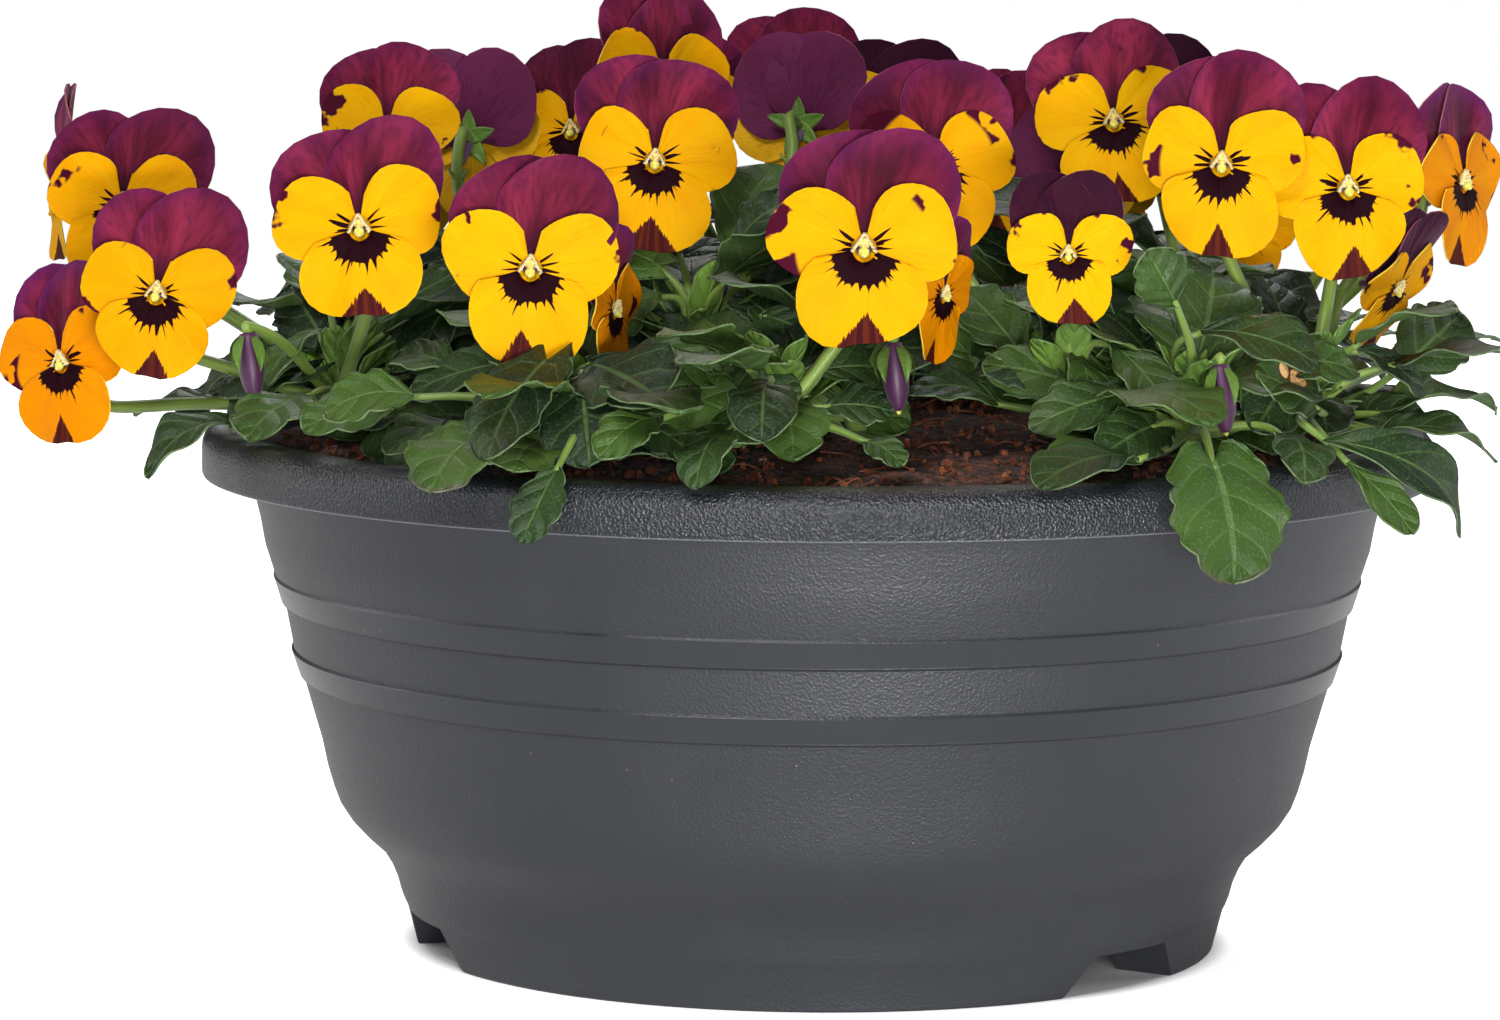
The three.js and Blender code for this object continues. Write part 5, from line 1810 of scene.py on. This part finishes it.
@dataclass
class Plant:
    """One plant of the bowl: its shoots, leaves, stalks, sepals and buds."""

    place: PlantPlace
    foliage: Foliage
    finishes: dict[str, bpy.types.Material]
    number: int
    filler_count: int = 96
    leaf_thickness: float = 0.4

    def __post_init__(self) -> None:
        """Draws from a seed of the plant's own."""
        self.draw = random.Random(70 + self.number)
        self.heads = [Vector(head) for head in self.place.heads]
        self.blades: list[Blade] = []

    def build(self) -> None:
        """Builds the plant's pieces in place of its node."""
        leaves = self._leaves()
        stems = self._stems()
        flowers = self._sepals()
        for piece in (leaves, stems, flowers):
            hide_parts(self.place.name)
        self._buds()
        log.info("%s is built", self.place.name)

    # ............................................................ leaves

    def _leaves(self) -> bpy.types.Object:
        """All the leaves of the plant, with their petioles."""
        making = Modelling()
        large = [
            (Blade(self.heads[leaf.head], Vector(leaf.base), Vector(leaf.tip),
                   Vector(leaf.face), leaf.width, leaf.arch), leaf)
            for leaf in LARGE_LEAVES if leaf.plant == self.place.name
        ]
        for blade, leaf in large:
            length = (blade.tip - blade.base).length
            shape = HEART if leaf.width > 20 else LANCE if leaf.arch >= 4 else OVATE
            if leaf.width < 0.55 * length and shape is OVATE:
                shape = SPOON
            tone = 0.3 if leaf.width > 20 else self.draw.uniform(0.05, 0.35)
            self._leaf(making, blade, shape, tone, 1.5, 1.0 if leaf.width > 21 else 0.0)
        small = self.foliage.small_leaves(self.place, [blade for blade, _ in large])
        for blade in small:
            shape = self.draw.choice((OVATE, OVATE, HEART, SPOON))
            self._leaf(making, blade, shape, self.draw.uniform(0.0, 0.45), 1.0)
        fill = self.foliage.fillers(self.place, self.filler_count, self.draw)
        # Filling leaves lie deep in the cushion; their tone is partly random and reaches below 0 as
        # painted shade.
        for blade in fill:
            shape = self.draw.choice((OVATE, SPOON, HEART, OVATE))
            self._leaf(making, blade, shape, self.draw.uniform(-0.2, 0.4), 0.8)
        self.blades = [*(blade for blade, _ in large), *small, *fill]
        for head in self.heads:
            self._rosette(making, head)
        log.info("%s: %d large, %d small, %d filling leaves",
                 self.place.name, len(large), len(small), len(fill))
        return making.finish(
            f"{self.place.name}_leaves",
            [self.finishes["leaf"], self.finishes["leaf_back"]],
            self.leaf_thickness, 1,
        )

    def _leaf(self, making: Modelling, blade: Blade, shape: LeafShape, tone: float,
              detail: float, burn: float = 0.0, material: int = 0) -> None:
        """Adds one blade.

        Args:
            making: The piece that it goes into.
            blade: Its place.
            shape: Its outline.
            tone: 0 for an old dark leaf, 1 for a young bright one, and below 0 painted shade.
            detail: How fine its grid is.
            burn: How dry its tip is, from 0 to 1.
            material: The material's index.
        """
        along = blade.tip - blade.base
        length = along.length
        along.normalize()
        up = (blade.face - along * blade.face.dot(along)).normalized()
        side = along.cross(up)
        phase = self.draw.uniform(0, math.tau)
        twist = self.draw.uniform(-0.12, 0.12)
        wave = shape.wave * blade.width

        def place(u: float, v: float) -> Vector:
            """The place of a point of the blade."""
            t = (1 - math.cos(math.pi * v)) / 2
            across = math.sin(u * math.pi / 2)
            cut = shape.tooth * shape.crenate(t) * abs(across) ** 5
            half = blade.width * shape.half_width(t) * (1 - cut)
            x = across * half
            back = shape.lobe * length * (1 - t) ** 4 * math.sin(math.pi * abs(across) ** 0.8)
            lift = blade.arch * 4 * t * (1 - t) + shape.fold * abs(x) + twist * x
            lift -= shape.curl * length * max(0.0, t - 0.6) ** 2
            lift += wave * abs(across) ** 3 * math.sin(math.pi * 4 * t + phase * (1 + (u > 0)))
            return blade.base + along * (t * length - back) + side * x + up * lift

        making.mark(tone=tone, seed=phase, patch=burn)
        making.sheet(2 * round(4 * detail), max(10, round(22 * detail)), place, material)

    def _rosette(self, making: Modelling, head: Vector) -> None:
        """Adds the young leaves and the narrow stipules round a shoot head."""
        for i in range(9):
            turn = math.radians(i * GOLDEN_ANGLE + self.draw.uniform(-20, 20))
            rise = math.radians(self.draw.uniform(25, 75))
            out = Vector((math.sin(turn) * math.cos(rise), -math.cos(turn) * math.cos(rise),
                          math.sin(rise)))
            length = self.draw.uniform(11, 23)
            base = head + out * 3.0
            face = Vector((-math.sin(turn), math.cos(turn), 0.6))
            blade = Blade(head, base, base + out * length, face, length * 0.4, 1.2)
            self._leaf(making, blade, SPOON, self.draw.uniform(0.55, 1.0), 0.7)
        for i in range(8):
            turn = math.radians(i * 47 + self.draw.uniform(-15, 15))
            rise = math.radians(self.draw.uniform(5, 50))
            out = Vector((math.sin(turn) * math.cos(rise), -math.cos(turn) * math.cos(rise),
                          math.sin(rise)))
            length = self.draw.uniform(7, 13)
            base = head + out * 2.5
            face = Vector((-math.sin(turn), math.cos(turn), 1.2))
            blade = Blade(head, base, base + out * length, face, length * 0.2, 0.8)
            self._leaf(making, blade, STIPULE, self.draw.uniform(0.4, 0.9), 0.5)

    # ............................................................. stems

    def _stems(self) -> bpy.types.Object:
        """The shoots, petioles and flower stalks of the plant."""
        making = Modelling()
        x, y = self.place.crown
        root = Vector((x, y, self.foliage.soil.height(x, y) - 2))
        making.mark(tone=0.0)
        for head in self.heads:
            bend = root.lerp(head, 0.5)
            bend.z = max(root.z, head.z) + 3
            route = smooth_route([root, bend, head], 8)
            making.tube(route, lambda part: lerp(2.6, 2.1, part), 10, ridge=0.04)
            self._knuckle(making, head)
        for blade in self.blades:
            self._petiole(making, blade)
        making.mark(tone=0.35)
        for stalk in self.foliage.stalks:
            if stalk.plant is self.place:
                route = smooth_route(list(stalk.points), 9)
                making.tube(
                    route, lambda part: lerp(1.5, 1.05, part**0.7), 8, ridge=0.09)
                self._bracts(making, route)
        return making.finish(f"{self.place.name}_stems", [self.finishes["stem"]])

    def _knuckle(self, making: Modelling, head: Vector) -> None:
        """Adds the thick end of a shoot, where leaves and stalks part."""
        tip = head + Vector((0, 0, 4.5))
        foot = head - Vector((0, 0, 3.5))
        route = [foot.lerp(tip, i / 6) for i in range(7)]
        making.tube(route, lambda part: 3.0 * math.sin(math.pi * (0.15 + part * 0.75)) ** 0.6, 10)

    def _petiole(self, making: Modelling, blade: Blade) -> None:
        """Adds a petiole from its shoot head to its blade."""
        along = (blade.tip - blade.base).normalized()
        reach = (blade.base - blade.head).length
        bend = blade.base - along * reach * 0.35
        bend = bend.lerp((blade.base + blade.head) / 2, 0.5)
        route = smooth_route([blade.head, bend, blade.base + along * 1.5], 5)
        making.tube(route, lambda part: lerp(1.25, 0.7, part), 6)

    def _bracts(self, making: Modelling, route: Sequence[Vector]) -> None:
        """Adds the two small bracts high up on a stalk."""
        spot = route[len(route) // 2]
        for side in (-1, 1):
            tip = spot + Vector((side * 2.2, -0.4, 3.2))
            making.tube([spot, (spot + tip) / 2, tip], lambda part: lerp(0.7, 0.25, part), 4)

    # ............................................................ sepals

    def _sepals(self) -> bpy.types.Object:
        """The sepals behind the blooms of the plant."""
        making = Modelling()
        for place, stalk in zip(self.foliage.blooms, self.foliage.stalks):
            if stalk.plant is not self.place:
                continue
            frame = place.matrix()
            centre = frame @ Vector((0, 5.0, 1.0))
            back = (frame.to_3x3() @ Vector((0, 1, 0))).normalized()
            for i in range(5):
                turn = math.radians(72 * i + self.draw.uniform(-8, 8))
                out = frame.to_3x3() @ Vector((math.sin(turn), 0.12, math.cos(turn)))
                length = self.draw.uniform(8.5, 10.5)
                base = centre - out * 2.0 + back * 0.4
                blade = Blade(centre, base, base + out * length, back, 3.4, -0.5)
                self._leaf(making, blade, STIPULE, self.draw.uniform(0.4, 0.8), 0.5)
        return making.finish(
            f"{self.place.name}_sepals",
            [self.finishes["sepal"], self.finishes["sepal"]], 0.45, 1,
        )

    # .............................................................. buds

    def _buds(self) -> None:
        """The closed buds of the plant, each on its hooked stalk."""
        making = Modelling()
        count = 0
        for name, index, place in BUDS:
            if name == self.place.name:
                self._bud(making, self.heads[index], Vector(place))
                count += 1
        if not count:
            making.mesh.free()
            return
        piece = making.finish(
            f"{self.place.name}_buds",
            [self.finishes[name] for name in ("bud", "stem", "sepal", "stigma")],
        )
        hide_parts(self.place.name)

    def _bud(self, making: Modelling, head: Vector, middle: Vector) -> None:
        """Adds one bud: rolled petals, sepals and its stalk.

        Args:
            making: The piece that it goes into.
            head: The shoot head.
            middle: The middle of the bud.
        """
        top = middle + Vector((0, 1, 8))
        bend = head.lerp(middle, 0.6)
        bend.z = middle.z + 5
        making.mark(tone=0.4, seed=3.0)
        route = smooth_route([head, bend, top + Vector((0, 0, 1.5)), top], 8)
        making.tube(route, lambda part: lerp(1.3, 1.0, part), 8, material=1, ridge=0.08)
        axis = Vector((0.1, -0.12, -1)).normalized()
        body = [top + axis * (14.0 * i / 16) for i in range(17)]
        making.tube(body, lambda part: 2.7 * math.sin(
            math.pi * (0.16 + 0.8 * part)) ** 0.6, 14, material=0, ridge=0.05)
        end = [top + axis * (13.5 + 0.4 * i) for i in range(4)]
        making.tube(end, lambda part: lerp(0.8, 0.3, part), 8, material=3)
        for i in range(5):
            turn = math.radians(72 * i)
            out = Vector((math.sin(turn), math.cos(turn), 0))
            base = top + out * 1.1
            tip = top + axis * 8.0 + out * 3.6
            blade = Blade(top, base, tip, out, 2.8, 1.4)
            self._leaf(making, blade, STIPULE, 0.6, 0.6, material=2)


# ---------------------------------------------------------------- studio


@dataclass(frozen=True)
class Studio:
    """A white studio: floor, lights and camera."""

    camera_place: Triple = (0.0, -1431.6, 256.6)
    camera_pitch: float = 6.417
    camera_roll: float = 0.401
    lens: float = 157.05
    shift: float = -0.0453
    floor_size: float = 3.6
    floor_lift: float = 0.75
    shadow_edge: tuple[float, float] = (0.086, 0.092)

    def build(self) -> None:
        """Builds the whole studio."""
        self._floor()
        self._light("key", (-0.5, -1.4, 1.7), 0.6, 32.0)
        self._light("front", (-0.02, -2.0, 0.35), 0.25, 9.0)
        self._light("card", (0.2, -0.9, 0.06), 0.4, 7.0, 0.1)
        self._light("left", (-1.5, 0.5, 0.5), 0.7, 7.0)
        self._light("right", (1.5, 0.5, 0.5), 0.7, 7.0)
        self._light("back", (0.0, 1.5, 1.3), 1.0, 18.0)
        self._world()
        self._camera()
        view = bpy.context.scene.view_settings
        view.view_transform = "Standard"
        view.look = "None"

    def _floor(self) -> None:
        """A wide white floor, lifted to white for the camera except under the bowl."""
        mesh = bmesh.new()
        bmesh.ops.create_grid(mesh, x_segments=2, y_segments=2, size=self.floor_size / 2)
        data = bpy.data.meshes.new("floor")
        mesh.to_mesh(data)
        mesh.free()
        floor = bpy.data.objects.new("floor", data)
        bpy.context.scene.collection.objects.link(floor)
        material = bpy.data.materials.new("white floor")
        material.use_nodes = True
        graph = Graph(material.node_tree)
        shader = material.node_tree.nodes["Principled BSDF"]
        shader.inputs["Base Color"].default_value = (0.9, 0.9, 0.9, 1.0)
        shader.inputs["Roughness"].default_value = 0.8
        shader.inputs["Emission Color"].default_value = (1.0, 1.0, 1.0, 1.0)
        reach = graph.add("ShaderNodeVectorMath", operation="LENGTH")
        graph.feed(reach.inputs[0], graph.object_place())
        low, high = self.shadow_edge
        clear = graph.add("ShaderNodeMapRange")
        graph.feed(clear.inputs["Value"], reach.outputs["Value"])
        graph.feed(clear.inputs["From Min"], low)
        graph.feed(clear.inputs["From Max"], high)
        graph.feed(clear.inputs["To Max"], self.floor_lift)
        seen = graph.add("ShaderNodeLightPath").outputs["Is Camera Ray"]
        lift = graph.times(seen, clear.outputs["Result"])
        graph.feed(shader.inputs["Emission Strength"], lift)
        data.materials.append(material)

    def _light(
        self, name: str, place: Triple, size: float, power: float, height: float = 0.0
    ) -> None:
        """A soft light that looks at the bowl: a square, or a strip of some height.

        Args:
            name: The name of the light.
            place: Where it stands, in metres.
            size: Its width, in metres.
            power: Its power, in watts.
            height: Its height, or 0 for a square.
        """
        light = bpy.data.lights.new(name, "AREA")
        light.shape = "RECTANGLE"
        light.size = size
        light.size_y = height or size
        light.energy = power
        lamp = bpy.data.objects.new(name, light)
        lamp.location = place
        aim = Vector((0, 0, 0.11)) - Vector(place)
        lamp.rotation_euler = aim.to_track_quat("-Z", "Y").to_euler()
        bpy.context.scene.collection.objects.link(lamp)

    def _world(self) -> None:
        """The white surroundings."""
        world = bpy.data.worlds.new("studio")
        world.use_nodes = True
        graph = Graph(world.node_tree)
        light = world.node_tree.nodes["Background"]
        seen = graph.add("ShaderNodeBackground")
        for background, strength in ((light, 0.08), (seen, 1.0)):
            background.inputs["Color"].default_value = (1.0, 1.0, 1.0, 1.0)
            background.inputs["Strength"].default_value = strength
        mix = graph.add("ShaderNodeMixShader")
        camera_ray = graph.add("ShaderNodeLightPath").outputs["Is Camera Ray"]
        for socket, value in zip(mix.inputs, (camera_ray, light.outputs[0], seen.outputs[0])):
            graph.feed(socket, value)
        graph.feed(world.node_tree.nodes["World Output"].inputs[0], mix.outputs[0])
        bpy.context.scene.world = world

    def _camera(self) -> None:
        """The camera at the front of the bowl, a little above its rim."""
        data = bpy.data.cameras.new("camera")
        data.sensor_width = 36.0
        data.lens = self.lens
        data.shift_x = self.shift
        data.clip_end = 50.0
        camera = bpy.data.objects.new("camera", data)
        look = Matrix.Rotation(math.radians(90 - self.camera_pitch), 4, "X")
        roll = Matrix.Rotation(math.radians(self.camera_roll), 4, "Z")
        spot = Matrix.Translation(Vector(self.camera_place) * MM)
        camera.matrix_world = spot @ look @ roll
        bpy.context.scene.collection.objects.link(camera)
        bpy.context.scene.camera = camera


# ------------------------------------------------------------------ main


def make_finishes() -> dict[str, bpy.types.Material]:
    """All the finishes of the plant, the bowl and the soil, by name."""
    shared = SharedEffects()
    spots = tuple(
        (place_on(LARGE_LEAVES[index], along, aside), radius)
        for index, along, aside, radius in LEAF_SPOTS
    )
    leaf = LeafFinish(
        "violet leaf", srgb(20, 38, 16), srgb(84, 118, 32), srgb(84, 112, 56),
        srgb(112, 134, 92), srgb(78, 104, 72), spots=spots)
    back = LeafFinish(
        "violet leaf underside", srgb(54, 76, 42), srgb(104, 138, 54), srgb(110, 134, 78),
        srgb(120, 142, 96), srgb(98, 118, 86), dots=0.2)
    sepal = LeafFinish(
        "sepal", srgb(54, 84, 30), srgb(92, 124, 42), srgb(104, 130, 62),
        srgb(130, 150, 100), srgb(96, 116, 78), dots=0.2, vein_pairs=1.0)
    finishes = {
        "lip": YellowPetalFinish(PetalPart.LIP),
        "side": YellowPetalFinish(PetalPart.SIDE),
        "upper": MaroonPetalFinish(),
        "yellow_back": PetalReverseFinish(
            "yellow petal back", srgb(200, 150, 10), srgb(150, 96, 24)),
        "upper_back": PetalReverseFinish(
            "maroon petal back", srgb(84, 24, 60), srgb(48, 10, 36)),
        "leaf": leaf,
        "leaf_back": back,
        "sepal": sepal,
        "stem": StemFinish("stem", srgb(118, 142, 58), srgb(74, 102, 38)),
        "spur": StemFinish("spur", srgb(120, 84, 120), srgb(84, 50, 92)),
        "bud": StemFinish("bud petals", srgb(70, 30, 66), srgb(44, 14, 44)),
        "stigma": SoftFinish("stigma", srgb(206, 206, 84), srgb(214, 150, 60)),
        "throat": SoftFinish("throat", srgb(216, 190, 104), srgb(196, 140, 54)),
        "hairs": SoftFinish("throat hairs", srgb(214, 200, 144), srgb(196, 172, 104)),
        "plastic": PlasticFinish(),
        "earth": EarthFinish("peat", srgb(40, 22, 15), srgb(108, 56, 36), srgb(164, 100, 66)),
        "coir": EarthFinish("coir", srgb(96, 48, 28), srgb(160, 92, 58), srgb(200, 138, 96)),
    }
    return {name: finish.make(shared) for name, finish in finishes.items()}


def main() -> None:
    """Builds the whole scene round the frame."""
    logging.basicConfig(level=logging.INFO, format="%(name)s: %(message)s")
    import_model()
    finishes = make_finishes()
    soil = Soil()
    Bowl().build(finishes["plastic"])
    soil.build(finishes["earth"], finishes["coir"])
    Blooms(finishes).build()
    foliage = Foliage(soil)
    for number, place in enumerate(PLANTS):
        Plant(place, foliage, finishes, number).build()
    Studio().build()


if __name__ == "__main__":
    main()
